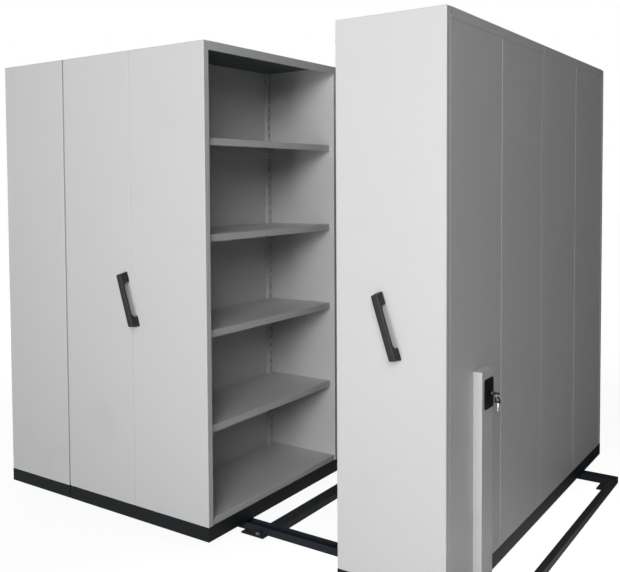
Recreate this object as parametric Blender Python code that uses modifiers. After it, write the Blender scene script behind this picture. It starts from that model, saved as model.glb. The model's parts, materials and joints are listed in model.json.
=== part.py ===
"""Hand-pushed mobile shelving compactor.

A fixed one-sided unit, a two-sided carriage and a one-sided carriage stand on a floor track.
X runs along the track, Y runs from the front end panels to the back, and Z is up.
"""

import math

import bmesh
import bpy
from mathutils import Matrix, Vector

# Clearances
SEAT_GAP = 0.0003
AXLE_PLAY = 0.0003
PIN_PLAY = 0.0008
WELD_DISTANCE = 0.00001

# Units along the track
UNIT_DEPTH = 0.408
UNIT_GAP = 0.004
AISLE = 0.590
PANEL_SEAM = 0.001

# Bays from front to back
BAY_CLEAR = 0.970
END_DEPTH = 0.032
UPRIGHT_THICKNESS = 0.030

# Heights
UNDER_CLEARANCE = 0.005
PLINTH_HEIGHT = 0.058
BODY_HEIGHT = 1.942
HEADER_HEIGHT = 0.036
HEADER_BOLT_INSET = 0.009
HEADER_BOLT_RADIUS = 0.0055
HEADER_BOLT_SIDES = 10

# Sheet metal
PANEL_SHEET = 0.0012
FOLD_RADIUS = 0.003
END_FLANGE = 0.024
EDGE_RECESS = 0.0005
BACK_RECESS = 0.003
SEAM_WIDTH = 0.002
SEAM_DEPTH = 0.008
EDGE_FOLD = 0.006

# Slotted posts in the back corners
POST_FACE = 0.028
POST_DEPTH = 0.018
DIVIDER_HALF = 0.016
SLOT_PITCH = 0.0432
SLOT_START = 0.026
SLOT_WIDTH = 0.013
SLOT_HEIGHT = 0.020
CLIP_WIDTH = 0.016
CLIP_HEIGHT = 0.010
CLIP_REACH = 0.012
CLIP_HOOK = 0.004

# Shelves
SHELF_LIP = 0.029
BASE_LIP = 0.025
SHELF_RECESS = 0.0265
BASE_RECESS = 0.006
SHELF_FOLD = 0.002
SHELF_SLOTS = (8, 17, 26, 35)

# Base frames
FRAME_SHEET = 0.003
FRAME_FLANGE = 0.040
CROSS_PLATE = 0.006
CROSS_PLATE_DROP = 0.002
SPINE_WIDTH = 0.044
SPINE_DEPTH = 0.020

# Floor track
RAIL_WIDTH = 0.056
RAIL_HEIGHT = 0.030
RAIL_WALL = 0.0045
RAIL_WEB = 0.004
RAIL_START = 0.012
RAIL_OVERRUN = 0.152
FRONT_RAIL_INSET = 0.285
REAR_RAIL_INSET = 0.319
JOINT_OFFSET = 0.110
JOINT_BAR_WIDTH = 0.058
END_BAR_WIDTH = 0.027
BAR_HEIGHT = 0.028
BAR_WALL = 0.003
LUG_LENGTH = 0.112
LUG_REACH = 0.040
LUG_THICKNESS = 0.006
LUG_BOLT_INSET = 0.036
LUG_BOLT_RADIUS = 0.010
LUG_BOLT_HEIGHT = 0.009
GUSSET_LENGTH = 0.095
GUSSET_WIDTH = 0.040
STOP_PLATE = 0.005

# Running gear
WHEEL_RADIUS = 0.043
WHEEL_WIDTH = 0.030
WHEEL_RIM = 0.009
WHEEL_WEB = 0.016
WHEEL_SIDE_GAP = 0.003
WHEEL_STEPS = 16
AXLE_RADIUS = 0.009
AXLE_STUB = 0.010
AXLE_SIDES = 16
AXLE_INSET = 0.100

# Pull handles
HANDLE_LENGTH = 0.240
HANDLE_WIDTH = 0.025
HANDLE_REACH = 0.047
HANDLE_BAR = 0.015
HANDLE_FOOT = 0.045
HANDLE_SLOPE = 0.012
HANDLE_END_SLOPE = 0.0075
HANDLE_ROUND = 0.003
HANDLE_LEAN = math.radians(17.5)
HANDLE_CENTRE = 0.985

# Floor lock
LOCK_WIDTH = 0.105
LOCK_OFFSET = 0.0025
LOCK_REACH = 0.032
LOCK_TOP = 0.812
LOCK_FOOT_GAP = 0.006
LOCK_PLATE_WIDTH = 0.083
LOCK_PLATE_HEIGHT = 0.106
LOCK_PLATE_THICKNESS = 0.003
LOCK_PLATE_ROUND = 0.010
LOCK_PLATE_OFFSET = 0.0115
LOCK_PLATE_DROP = 0.0305
BARREL_RADIUS = 0.009
BARREL_COLLAR = 0.0125
BARREL_COLLAR_THICKNESS = 0.003
BARREL_OFFSET = 0.023
BARREL_SIDES = 16
CAM_THICKNESS = 0.004
CAM_WIDTH = 0.010
CAM_PIN_RADIUS = 0.003
LOCK_THROW = 0.024
ROD_RADIUS = 0.006
ROD_CENTRE = 0.011
ROD_SIDES = 14
ROD_TIP_GAP = 0.003
ROD_HEAD_THICKNESS = 0.006
ROD_HEAD_MARGIN = 0.007
GUIDE_HEIGHT = 0.110
GUIDE_THICKNESS = 0.006
KEEPER_LENGTH = 0.008
KEEPER_HEIGHT = 0.016
KEEPER_PLAY = 0.002

# Keys
KEY_BLADE_THICKNESS = 0.002
KEY_BLADE_WIDTH = 0.008
KEY_BLADE_LENGTH = 0.022
KEY_TIP_WIDTH = 0.004
KEY_NECK = 0.007
KEY_BOW_RADIUS = 0.011
KEY_SHOULDER = 0.0115
KEY_BOW_THICKNESS = 0.0036
KEY_HOLE_RADIUS = 0.0055
KEY_SIDES = 10
KEYWAY_PLAY = 0.0003
RING_RADIUS = 0.0115
RING_WIRE = 0.0009
RING_STEPS = 18
RING_WIRE_SIDES = 6

# Finishes: colour, roughness and metallic value
FINISHES = {
    "grey_enamel": ((0.60, 0.60, 0.61), 0.38, 0.0),
    "black_enamel": ((0.018, 0.022, 0.024), 0.45, 0.0),
    "dark_plastic": ((0.030, 0.032, 0.034), 0.42, 0.0),
    "lock_black": ((0.010, 0.012, 0.012), 0.35, 0.0),
    "bright_steel": ((0.62, 0.62, 0.60), 0.25, 1.0),
    "wheel_steel": ((0.30, 0.30, 0.31), 0.40, 1.0),
    "key_plastic": ((0.022, 0.020, 0.022), 0.40, 0.0),
}

# Places that follow from the sizes
DOUBLE_DEPTH = 2 * UNIT_DEPTH
MIDDLE_LEFT = UNIT_DEPTH + UNIT_GAP
RIGHT_LEFT = MIDDLE_LEFT + DOUBLE_DEPTH + AISLE
RAIL_END = RIGHT_LEFT + UNIT_DEPTH + RAIL_OVERRUN
UNIT_LENGTH = 2 * BAY_CLEAR + 2 * END_DEPTH + UPRIGHT_THICKNESS
MID_LENGTH = UNIT_LENGTH / 2
PLINTH_BOTTOM = RAIL_HEIGHT + UNDER_CLEARANCE
BODY_BOTTOM = PLINTH_BOTTOM + PLINTH_HEIGHT
BODY_FOOT = BODY_BOTTOM + SEAT_GAP
BODY_TOP = BODY_BOTTOM + BODY_HEIGHT
BASE_LEVEL = BODY_FOOT + BASE_LIP
SLOT_ZERO = BASE_LEVEL + SLOT_START
DIVIDER_REACH = DIVIDER_HALF + POST_DEPTH
FRONT_RAIL = FRONT_RAIL_INSET
REAR_RAIL = UNIT_LENGTH - REAR_RAIL_INSET
RAILS = (FRONT_RAIL, REAR_RAIL)
JOINT_PLACE = MIDDLE_LEFT + DOUBLE_DEPTH + JOINT_OFFSET
AXLE_HEIGHT = RAIL_WEB + SEAT_GAP + WHEEL_RADIUS
PLATE_OFFSET = WHEEL_WIDTH / 2 + WHEEL_SIDE_GAP + CROSS_PLATE / 2
FRONT_BAY = (END_DEPTH, MID_LENGTH - UPRIGHT_THICKNESS / 2)
REAR_BAY = (MID_LENGTH + UPRIGHT_THICKNESS / 2, UNIT_LENGTH - END_DEPTH)
BAYS = {"front": FRONT_BAY, "rear": REAR_BAY}
CAM_RADIUS = LOCK_THROW / (2 * math.sin(math.pi / 4))
LOCK_SKIN = UNIT_DEPTH + LOCK_REACH
LOCK_Y = FRONT_RAIL + LOCK_OFFSET
LOCK_PLATE_Y = FRONT_RAIL + LOCK_PLATE_OFFSET
BARREL_Y = FRONT_RAIL + BARREL_OFFSET
BARREL_Z = LOCK_TOP - LOCK_PLATE_DROP - LOCK_PLATE_HEIGHT / 2
CENTRE_X = RAIL_END / 2
CENTRE_Y = (UNIT_LENGTH - HANDLE_REACH - SEAT_GAP) / 2

# Turns an outline drawn in XY so that it stands in YZ and is drawn out along +X
ALONG_X = Matrix(((0, 0, 1), (1, 0, 0), (0, 1, 0))).to_euler()
# Turns an outline drawn in XY so that it stands in XZ and is drawn out along -Y
ALONG_Y = Matrix.Rotation(math.pi / 2, 3, "X").to_euler()


def clear_scene():
    """Removes every object that the scene starts with."""
    for obj in list(bpy.data.objects):
        bpy.data.objects.remove(obj, do_unlink=True)


def make_collection(name):
    """A new collection in the scene."""
    collection = bpy.data.collections.new(name)
    bpy.context.scene.collection.children.link(collection)
    return collection


def make_finish(name):
    """A material with one finish's colour, roughness and metallic value."""
    colour, roughness, metallic = FINISHES[name]
    material = bpy.data.materials.new(name)
    material.use_nodes = True
    shader = material.node_tree.nodes["Principled BSDF"]
    shader.inputs["Base Color"].default_value = (*colour, 1.0)
    shader.inputs["Roughness"].default_value = roughness
    shader.inputs["Metallic"].default_value = metallic
    material.diffuse_color = (*colour, 1.0)
    return material


def empty(name, location, parent=None):
    """An empty that carries a unit or a moving group."""
    carrier = bpy.data.objects.new(name, None)
    carrier.location = location
    carrier.parent = parent
    PARTS.objects.link(carrier)
    return carrier


def place(name, mesh, finish, parent, location=(0, 0, 0), rotation=(0, 0, 0)):
    """A sub-part: one object with its finish, placed under what carries it."""
    obj = bpy.data.objects.new(name, mesh)
    obj.data.materials.append(MATERIALS[finish])
    obj.parent = parent
    obj.location = location
    obj.rotation_euler = rotation
    PARTS.objects.link(obj)
    return obj


def shape(target, operation, pieces):
    """Joins a list of (mesh, location, rotation) to a sub-part, or cuts it out of the sub-part."""
    group = bpy.data.collections.new(f"{target.name}_{operation.lower()}")
    CUTTERS.children.link(group)
    for mesh, location, rotation in pieces:
        tool = bpy.data.objects.new(f"{target.name}_tool", mesh)
        tool.parent = target.parent
        tool.location = location
        tool.rotation_euler = rotation
        tool.hide_render = True
        tool.display_type = "WIRE"
        group.objects.link(tool)
    modifier = target.modifiers.new(operation.title(), "BOOLEAN")
    modifier.operation = operation
    modifier.operand_type = "COLLECTION"
    modifier.collection = group
    modifier.solver = "EXACT"


def finish_mesh(bm, name):
    """The mesh of a bmesh, which is freed."""
    mesh = bpy.data.meshes.new(name)
    bm.to_mesh(mesh)
    bm.free()
    return mesh


def box_bmesh(size):
    """A bmesh box from the origin to its far corner."""
    bm = bmesh.new()
    bmesh.ops.create_cube(bm, size=1.0)
    half = Vector((0.5, 0.5, 0.5))
    bmesh.ops.translate(bm, verts=bm.verts, vec=half)
    bmesh.ops.scale(bm, verts=bm.verts, vec=size)
    return bm


def box(name, size):
    """A box mesh from the origin to its far corner."""
    return finish_mesh(box_bmesh(size), name)


def box_between(name, low, high):
    """A box mesh and its place, as a joining or cutting piece."""
    size = Vector(high) - Vector(low)
    return box(name, size), low, (0, 0, 0)


def boxes_between(name, pairs):
    """One mesh of several separate boxes, as a cutting piece."""
    bm = bmesh.new()
    for low, high in pairs:
        size = Vector(high) - Vector(low)
        centre = (Vector(high) + Vector(low)) / 2
        matrix = Matrix.Translation(centre) @ Matrix.Diagonal((*size, 1.0))
        bmesh.ops.create_cube(bm, size=1.0, matrix=matrix)
    return finish_mesh(bm, name), (0, 0, 0), (0, 0, 0)


def folded_sheet(name, size, open_sides):
    """The skin of a box without its open sides. A side may keep a folded flange of a given width.

    open_sides holds pairs of an outward direction and a flange width.
    """
    bm = box_bmesh(size)
    for direction, flange in open_sides:
        way = Vector(direction)
        face = max(bm.faces, key=lambda side: side.normal.dot(way))
        if flange:
            bmesh.ops.inset_individual(bm, faces=[face], thickness=flange, use_even_offset=True)
        bmesh.ops.delete(bm, geom=[face], context="FACES")
        bm.normal_update()
    return finish_mesh(bm, name)


def thicken(obj, sheet, fold=0.0, segments=1):
    """Rounds the folds of a skin and gives it its sheet thickness, inwards."""
    if fold:
        bevel = obj.modifiers.new("Folds", "BEVEL")
        bevel.width = fold
        bevel.segments = segments
        bevel.limit_method = "ANGLE"
    solidify = obj.modifiers.new("Sheet", "SOLIDIFY")
    solidify.thickness = sheet
    solidify.offset = -1.0
    solidify.use_even_offset = True


def prism(name, outlines, length):
    """A flat outline, with its holes, drawn out along +Z from z = 0."""
    curve = bpy.data.curves.new(name, "CURVE")
    curve.dimensions = "2D"
    curve.fill_mode = "BOTH"
    curve.extrude = length / 2
    for outline in outlines:
        spline = curve.splines.new("POLY")
        spline.points.add(len(outline) - 1)
        for point, (u, v) in zip(spline.points, outline):
            point.co = (u, v, 0.0, 1.0)
        spline.use_cyclic_u = True
    drawn = bpy.data.objects.new(name, curve)
    bpy.context.scene.collection.objects.link(drawn)
    graph = bpy.context.evaluated_depsgraph_get()
    mesh = bpy.data.meshes.new_from_object(drawn.evaluated_get(graph))
    bpy.data.objects.remove(drawn)
    bpy.data.curves.remove(curve)
    bm = bmesh.new()
    bm.from_mesh(mesh)
    bmesh.ops.remove_doubles(bm, verts=bm.verts, dist=WELD_DISTANCE)
    bmesh.ops.recalc_face_normals(bm, faces=bm.faces)
    bmesh.ops.translate(bm, verts=bm.verts, vec=(0, 0, length / 2))
    bm.to_mesh(mesh)
    bm.free()
    return mesh


def cylinder(name, radius, length, sides):
    """A cylinder mesh centred on the origin, along Z."""
    bm = bmesh.new()
    bmesh.ops.create_cone(
        bm, cap_ends=True, segments=sides, radius1=radius, radius2=radius, depth=length
    )
    return finish_mesh(bm, name)


def smooth(obj):
    """Shades a round piece smooth, with its real edges kept sharp."""
    obj.data.shade_smooth()
    obj.data.set_sharp_from_angle(angle=math.radians(40))


def rectangle(low_u, low_v, high_u, high_v):
    """The corners of a rectangle."""
    return [(low_u, low_v), (high_u, low_v), (high_u, high_v), (low_u, high_v)]


def rounded_rectangle(width, height, radius, steps):
    """A rectangle about the origin whose corners are arcs."""
    points = []
    corners = ((1, 1, 0), (-1, 1, 1), (-1, -1, 2), (1, -1, 3))
    for sign_u, sign_v, quarter in corners:
        for step in range(steps + 1):
            angle = (quarter + step / steps) * math.pi / 2
            u = sign_u * (width / 2 - radius) + radius * math.cos(angle)
            v = sign_v * (height / 2 - radius) + radius * math.sin(angle)
            points.append((u, v))
    return points


def circle(centre_u, centre_v, radius, sides):
    """The points of a circle."""
    points = []
    for step in range(sides):
        angle = 2 * math.pi * step / sides
        points.append((centre_u + radius * math.cos(angle), centre_v + radius * math.sin(angle)))
    return points


def shelf_tops():
    """The heights of the adjustable shelves, counted in slots above the base shelf."""
    return [SLOT_ZERO + count * SLOT_PITCH for count in SHELF_SLOTS]


def hook_foot(top):
    """The underside of the clips that carry a shelf, which hang below its lip."""
    return top - SHELF_LIP - CLIP_HEIGHT


def slot_height(count):
    """The middle of the slot that takes the hook of a shelf that many slots up."""
    return hook_foot(SLOT_ZERO + count * SLOT_PITCH) + SLOT_HEIGHT / 2


def post_lines(bay):
    """The Y of the middle of the two back posts of a bay."""
    inset = SEAT_GAP + POST_FACE / 2
    return bay[0] + inset, bay[1] - inset


def end_panel(name, parent, left, width, front):
    """A folded end panel that closes the front or the back of a unit."""
    size = (width, END_DEPTH, BODY_TOP - BODY_FOOT)
    way = (0, 1, 0) if front else (0, -1, 0)
    start = 0.0 if front else UNIT_LENGTH - END_DEPTH
    mesh = folded_sheet(name, size, [(way, END_FLANGE)])
    obj = place(name, mesh, "grey_enamel", parent, (left, start, BODY_FOOT))
    thicken(obj, PANEL_SHEET, FOLD_RADIUS, 2 if front else 1)


def top_panel(name, parent, width, bolted_edges):
    """A top with a header folded down on each side, notched round the mid uprights.

    bolted_edges holds the X of each header that has a bolt hole near both of its ends.
    """
    start = END_DEPTH + SEAT_GAP
    length = UNIT_LENGTH - 2 * start
    open_sides = [((0, 0, -1), 0.0), ((0, -1, 0), 0.0), ((0, 1, 0), 0.0)]
    mesh = folded_sheet(name, (width, length, HEADER_HEIGHT), open_sides)
    obj = place(name, mesh, "grey_enamel", parent, (0, start, BODY_TOP - HEADER_HEIGHT))
    thicken(obj, PANEL_SHEET)
    half = UPRIGHT_THICKNESS / 2 + SEAT_GAP
    low_z = BODY_TOP - HEADER_HEIGHT - SHELF_LIP
    high_z = BODY_TOP - PANEL_SHEET / 2
    cuts = []
    for edge in (0, width):
        low = (edge - POST_DEPTH, MID_LENGTH - half, low_z)
        high = (edge + POST_DEPTH, MID_LENGTH + half, high_z)
        cuts.append(box_between(name, low, high))
    hole = cylinder(name, HEADER_BOLT_RADIUS, POST_DEPTH, HEADER_BOLT_SIDES)
    for edge in bolted_edges:
        for y in (start + HEADER_BOLT_INSET, UNIT_LENGTH - start - HEADER_BOLT_INSET):
            cuts.append((hole, (edge, y, BODY_TOP - HEADER_HEIGHT / 2), (0, math.pi / 2, 0)))
    shape(obj, "DIFFERENCE", cuts)


def upright_mesh(name, low_x, high_x):
    """A double-skinned mid upright, open at its foot and top, which closes the ends of two bays."""
    width = high_x - low_x
    wall = PANEL_SHEET
    skin = rectangle(0, 0, width, UPRIGHT_THICKNESS)
    hollow = rectangle(wall, wall, width - wall, UPRIGHT_THICKNESS - wall)
    top = BODY_TOP - PANEL_SHEET - SEAT_GAP
    return prism(name, [skin, hollow], top - BODY_FOOT)


def shelf_mesh(name, low_x, high_x, length, lip):
    """A shelf folded down on all four sides."""
    return folded_sheet(name, (high_x - low_x, length, lip), [((0, 0, -1), 0.0)])


def shelf_rack(name, parent, upright, shelves, base):
    """A mid upright with the shelves that hang on it in both bays.

    upright, shelves and base each hold the lowest and highest X of those pieces.
    """
    place_y = MID_LENGTH - UPRIGHT_THICKNESS / 2
    mesh = upright_mesh(name, *upright)
    obj = place(name, mesh, "grey_enamel", parent, (upright[0], place_y, BODY_FOOT))
    levels = [(BASE_LEVEL, BASE_LIP, base)]
    levels += [(top, SHELF_LIP, shelves) for top in shelf_tops()]
    length = BAY_CLEAR - SEAT_GAP + PANEL_SHEET / 2
    starts = (FRONT_BAY[0] + SEAT_GAP, REAR_BAY[0] - PANEL_SHEET / 2)
    group = bpy.data.collections.new(f"{name}_shelves")
    CUTTERS.children.link(group)
    for top, lip, span in levels:
        for start in starts:
            shelf = bpy.data.objects.new(f"{name}_tool", shelf_mesh(name, *span, length, lip))
            shelf.parent = parent
            shelf.location = (span[0], start, top - lip)
            shelf.hide_render = True
            shelf.display_type = "WIRE"
            thicken(shelf, PANEL_SHEET)
            group.objects.link(shelf)
    modifier = obj.modifiers.new("Shelves", "BOOLEAN")
    modifier.operation = "UNION"
    modifier.operand_type = "COLLECTION"
    modifier.collection = group
    modifier.solver = "EXACT"
    return obj


def back_panel(name, parent, bay, outer, inward):
    """A back made of two sheets, with a post folded into each end and a seam between the sheets.

    outer is the X of its outer face and inward is the sign of X towards the shelves.
    """
    low_y = bay[0] + SEAT_GAP
    high_y = bay[1] - SEAT_GAP
    middle = (low_y + high_y) / 2
    half_seam = SEAM_WIDTH / 2
    wall = PANEL_SHEET
    half_fold = half_seam + wall
    deep = SEAM_DEPTH + wall
    fold = EDGE_FOLD
    inside = fold + wall * (math.sqrt(2) - 1)
    outline = [
        (fold, low_y),
        (0, low_y + fold),
        (0, middle - half_seam - fold),
        (fold, middle - half_seam),
        (SEAM_DEPTH, middle - half_seam),
        (SEAM_DEPTH, middle + half_seam),
        (fold, middle + half_seam),
        (0, middle + half_seam + fold),
        (0, high_y - fold),
        (fold, high_y),
        (POST_DEPTH, high_y),
        (POST_DEPTH, high_y - POST_FACE),
        (wall, high_y - POST_FACE),
        (wall, middle + half_seam + inside),
        (inside, middle + half_fold),
        (deep, middle + half_fold),
        (deep, middle - half_fold),
        (inside, middle - half_fold),
        (wall, middle - half_seam - inside),
        (wall, low_y + POST_FACE),
        (POST_DEPTH, low_y + POST_FACE),
        (POST_DEPTH, low_y),
    ]
    holes = []
    for end_y, sign in ((low_y, 1), (high_y, -1)):
        near = end_y + sign * wall
        far = end_y + sign * (POST_FACE - wall)
        fold_y = end_y + sign * inside
        depth = POST_DEPTH - wall
        holes.append([(wall, far), (wall, fold_y), (inside, near), (depth, near), (depth, far)])
    turned = []
    for loop in [outline] + holes:
        turned.append([(outer + inward * depth, y) for depth, y in loop])
    height = BODY_TOP - HEADER_HEIGHT - SEAT_GAP - BODY_FOOT
    place(name, prism(name, turned, height), "grey_enamel", parent, (0, 0, BODY_FOOT))


def divider(name, parent, bay):
    """The double wall between the two sides of the carriage, with a row of slots in each post."""
    centre = DOUBLE_DEPTH / 2
    reach = DIVIDER_REACH
    half = DIVIDER_HALF
    low_y = bay[0] + SEAT_GAP
    high_y = bay[1] - SEAT_GAP
    low_fold = low_y + POST_FACE + FOLD_RADIUS
    high_fold = high_y - POST_FACE - FOLD_RADIUS
    outline = [
        (centre - reach, low_y),
        (centre + reach, low_y),
        (centre + reach, low_y + POST_FACE),
        (centre + half, low_fold),
        (centre + half, high_fold),
        (centre + reach, high_y - POST_FACE),
        (centre + reach, high_y),
        (centre - reach, high_y),
        (centre - reach, high_y - POST_FACE),
        (centre - half, high_fold),
        (centre - half, low_fold),
        (centre - reach, low_y + POST_FACE),
    ]
    wall = PANEL_SHEET
    hollow = half - wall
    loops = [outline, rectangle(centre - hollow, low_fold + wall, centre + hollow, high_fold - wall)]
    for start in (low_y, high_y - POST_FACE):
        inside = start + wall, start + POST_FACE - wall
        loops.append(rectangle(centre - reach + wall, inside[0], centre + reach - wall, inside[1]))
    height = BODY_TOP - PANEL_SHEET - SEAT_GAP - BODY_FOOT
    obj = place(name, prism(name, loops, height), "grey_enamel", parent, (0, 0, BODY_FOOT))
    face = centre + reach
    slots = []
    count = 1
    while slot_height(count) + SLOT_HEIGHT < BODY_FOOT + height:
        middle = slot_height(count)
        if middle - SLOT_HEIGHT > BASE_LEVEL:
            for y in post_lines(bay):
                low = (face - 2 * wall, y - SLOT_WIDTH / 2, middle - SLOT_HEIGHT / 2)
                high = (face + 2 * wall, y + SLOT_WIDTH / 2, middle + SLOT_HEIGHT / 2)
                slots.append((low, high))
        count += 1
    shape(obj, "DIFFERENCE", [boxes_between(name, slots)])


def base_frame(name, parent, width, cross_members, holes):
    """A black plinth: an angle frame folded from sheet, with cross members and shaft holes."""
    size = (width, UNIT_LENGTH, PLINTH_HEIGHT)
    open_sides = [((0, 0, 1), FRAME_FLANGE), ((0, 0, -1), 0.0)]
    mesh = folded_sheet(name, size, open_sides)
    obj = place(name, mesh, "black_enamel", parent, (0, 0, PLINTH_BOTTOM))
    thicken(obj, FRAME_SHEET)
    low_x = FRAME_SHEET / 2
    high_x = width - FRAME_SHEET / 2
    spine_top = BODY_BOTTOM - SEAT_GAP
    half_spine = SPINE_WIDTH / 2
    low = (low_x, MID_LENGTH - half_spine, spine_top - SPINE_DEPTH)
    members = [box_between(name, low, (high_x, MID_LENGTH + half_spine, spine_top))]
    for low_y, high_y, bottom in cross_members:
        high = (high_x, high_y, BODY_BOTTOM - FRAME_SHEET / 2)
        members.append(box_between(name, (low_x, low_y, bottom), high))
    shape(obj, "UNION", members)
    if holes:
        bore_length = 2 * (PLATE_OFFSET + CROSS_PLATE)
        bores = []
        for x in holes:
            mesh = cylinder(name, AXLE_RADIUS + AXLE_PLAY, bore_length, AXLE_SIDES)
            for y in RAILS:
                bores.append((mesh, (x, y, AXLE_HEIGHT), (math.pi / 2, 0, 0)))
        shape(obj, "DIFFERENCE", bores)


def wheel_mesh(name):
    """The half section of a dished wheel, from its tread round to its bore."""
    half = WHEEL_WIDTH / 2
    web = WHEEL_WEB / 2
    rim = WHEEL_RADIUS - WHEEL_RIM
    bore = AXLE_RADIUS + SEAT_GAP
    section = [
        (WHEEL_RADIUS, half),
        (WHEEL_RADIUS, -half),
        (rim, -half),
        (rim, -web),
        (bore, -web),
        (bore, web),
        (rim, web),
        (rim, half),
    ]
    bm = bmesh.new()
    verts = [bm.verts.new((radius, 0, height)) for radius, height in section]
    for first, second in zip(verts, verts[1:] + verts[:1]):
        bm.edges.new((first, second))
    return finish_mesh(bm, name)


def axle_set(side, parent, x):
    """A through shaft with a wheel pressed on over each rail."""
    low = FRONT_RAIL - PLATE_OFFSET - CROSS_PLATE / 2 - AXLE_STUB
    high = REAR_RAIL + PLATE_OFFSET + CROSS_PLATE / 2 + AXLE_STUB
    name = f"{side}_axle"
    centre = (low + high) / 2
    mesh = cylinder(name, AXLE_RADIUS, high - low, AXLE_SIDES)
    axle = place(name, mesh, "bright_steel", parent, (x, centre, AXLE_HEIGHT), (math.pi / 2, 0, 0))
    smooth(axle)
    for end, y in zip(("front", "rear"), RAILS):
        name = f"{side}_{end}_wheel"
        wheel = place(name, wheel_mesh(name), "wheel_steel", axle, (0, 0, centre - y))
        screw = wheel.modifiers.new("Turned", "SCREW")
        screw.axis = "Z"
        screw.steps = WHEEL_STEPS
        screw.render_steps = WHEEL_STEPS
        screw.use_merge_vertices = True
        screw.merge_threshold = WELD_DISTANCE
        smooth(wheel)


def pull_handle(name, parent, x):
    """A bow handle on two wide feet, leaning to the left at its top."""
    slope_top = HANDLE_REACH - HANDLE_BAR
    inner = HANDLE_FOOT + HANDLE_SLOPE
    half = HANDLE_LENGTH / 2
    outline = [
        (0, -half),
        (HANDLE_REACH, HANDLE_END_SLOPE - half),
        (HANDLE_REACH, half - HANDLE_END_SLOPE),
        (0, half),
        (0, half - HANDLE_FOOT),
        (slope_top - HANDLE_SLOPE, half - HANDLE_FOOT),
        (slope_top, half - inner),
        (slope_top, inner - half),
        (slope_top - HANDLE_SLOPE, HANDLE_FOOT - half),
        (0, HANDLE_FOOT - half),
    ]
    mesh = prism(name, [outline], HANDLE_WIDTH)
    bm = bmesh.new()
    bm.from_mesh(mesh)
    bmesh.ops.translate(bm, verts=bm.verts, vec=(0, 0, -HANDLE_WIDTH / 2))
    bm.to_mesh(mesh)
    bm.free()
    standing = Matrix(((0, 0, -1), (-1, 0, 0), (0, 1, 0)))
    turn = Matrix.Rotation(-HANDLE_LEAN, 3, "Y") @ standing
    location = (x, -SEAT_GAP, HANDLE_CENTRE)
    obj = place(name, mesh, "dark_plastic", parent, location, turn.to_euler())
    bevel = obj.modifiers.new("Edges", "BEVEL")
    bevel.width = HANDLE_ROUND
    bevel.segments = 2
    bevel.limit_method = "ANGLE"


def rail(name, y, low_x, high_x, added):
    """A length of U-shaped rail with the lugs, stops and keepers welded to it."""
    half = RAIL_WIDTH / 2
    inner = half - RAIL_WALL
    outline = [
        (-half, 0),
        (half, 0),
        (half, RAIL_HEIGHT),
        (inner, RAIL_HEIGHT),
        (inner, RAIL_WEB),
        (-inner, RAIL_WEB),
        (-inner, RAIL_HEIGHT),
        (-half, RAIL_HEIGHT),
    ]
    mesh = prism(name, [outline], high_x - low_x)
    obj = place(name, mesh, "black_enamel", TRACK, (low_x, y, 0), ALONG_X)
    if added:
        shape(obj, "UNION", added)


def joint_lug(name, y, outward):
    """A foot welded to a rail beside the joint, with its levelling bolt."""
    face = y + outward * (RAIL_WIDTH / 2 - RAIL_WALL / 2)
    edge = y + outward * (RAIL_WIDTH / 2 + LUG_REACH)
    low_x = JOINT_PLACE - LUG_LENGTH
    high_x = JOINT_PLACE - SEAT_GAP
    foot = box_between(name, (low_x, min(face, edge), 0), (high_x, max(face, edge), LUG_THICKNESS))
    bolt = cylinder(name, LUG_BOLT_RADIUS, 2 * LUG_BOLT_HEIGHT, 6)
    place_y = y + outward * (RAIL_WIDTH / 2 + LUG_REACH / 2)
    bolt_x = JOINT_PLACE - LUG_BOLT_INSET
    return [foot, (bolt, (bolt_x, place_y, LUG_BOLT_HEIGHT + SEAT_GAP), (0, 0, 0))]


def crossbar(name, low_x, width, gussets):
    """A bar between the rails, folded to an upside-down channel."""
    outline = [
        (0, 0),
        (BAR_WALL, 0),
        (BAR_WALL, BAR_HEIGHT - BAR_WALL),
        (width - BAR_WALL, BAR_HEIGHT - BAR_WALL),
        (width - BAR_WALL, 0),
        (width, 0),
        (width, BAR_HEIGHT),
        (0, BAR_HEIGHT),
    ]
    low_y = FRONT_RAIL + RAIL_WIDTH / 2 + SEAT_GAP
    high_y = REAR_RAIL - RAIL_WIDTH / 2 - SEAT_GAP
    mesh = prism(name, [outline], high_y - low_y)
    obj = place(name, mesh, "black_enamel", TRACK, (low_x, high_y, 0), ALONG_Y)
    if gussets:
        corner_x = low_x + BAR_WALL / 2 if gussets < 0 else low_x + width - BAR_WALL / 2
        far_x = corner_x + gussets * GUSSET_WIDTH
        span = min(corner_x, far_x), max(corner_x, far_x)
        plates = []
        for start in (low_y, high_y - GUSSET_LENGTH):
            low = (span[0], start, 0)
            plates.append(box_between(name, low, (span[1], start + GUSSET_LENGTH, LUG_THICKNESS)))
        shape(obj, "UNION", plates)


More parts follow.
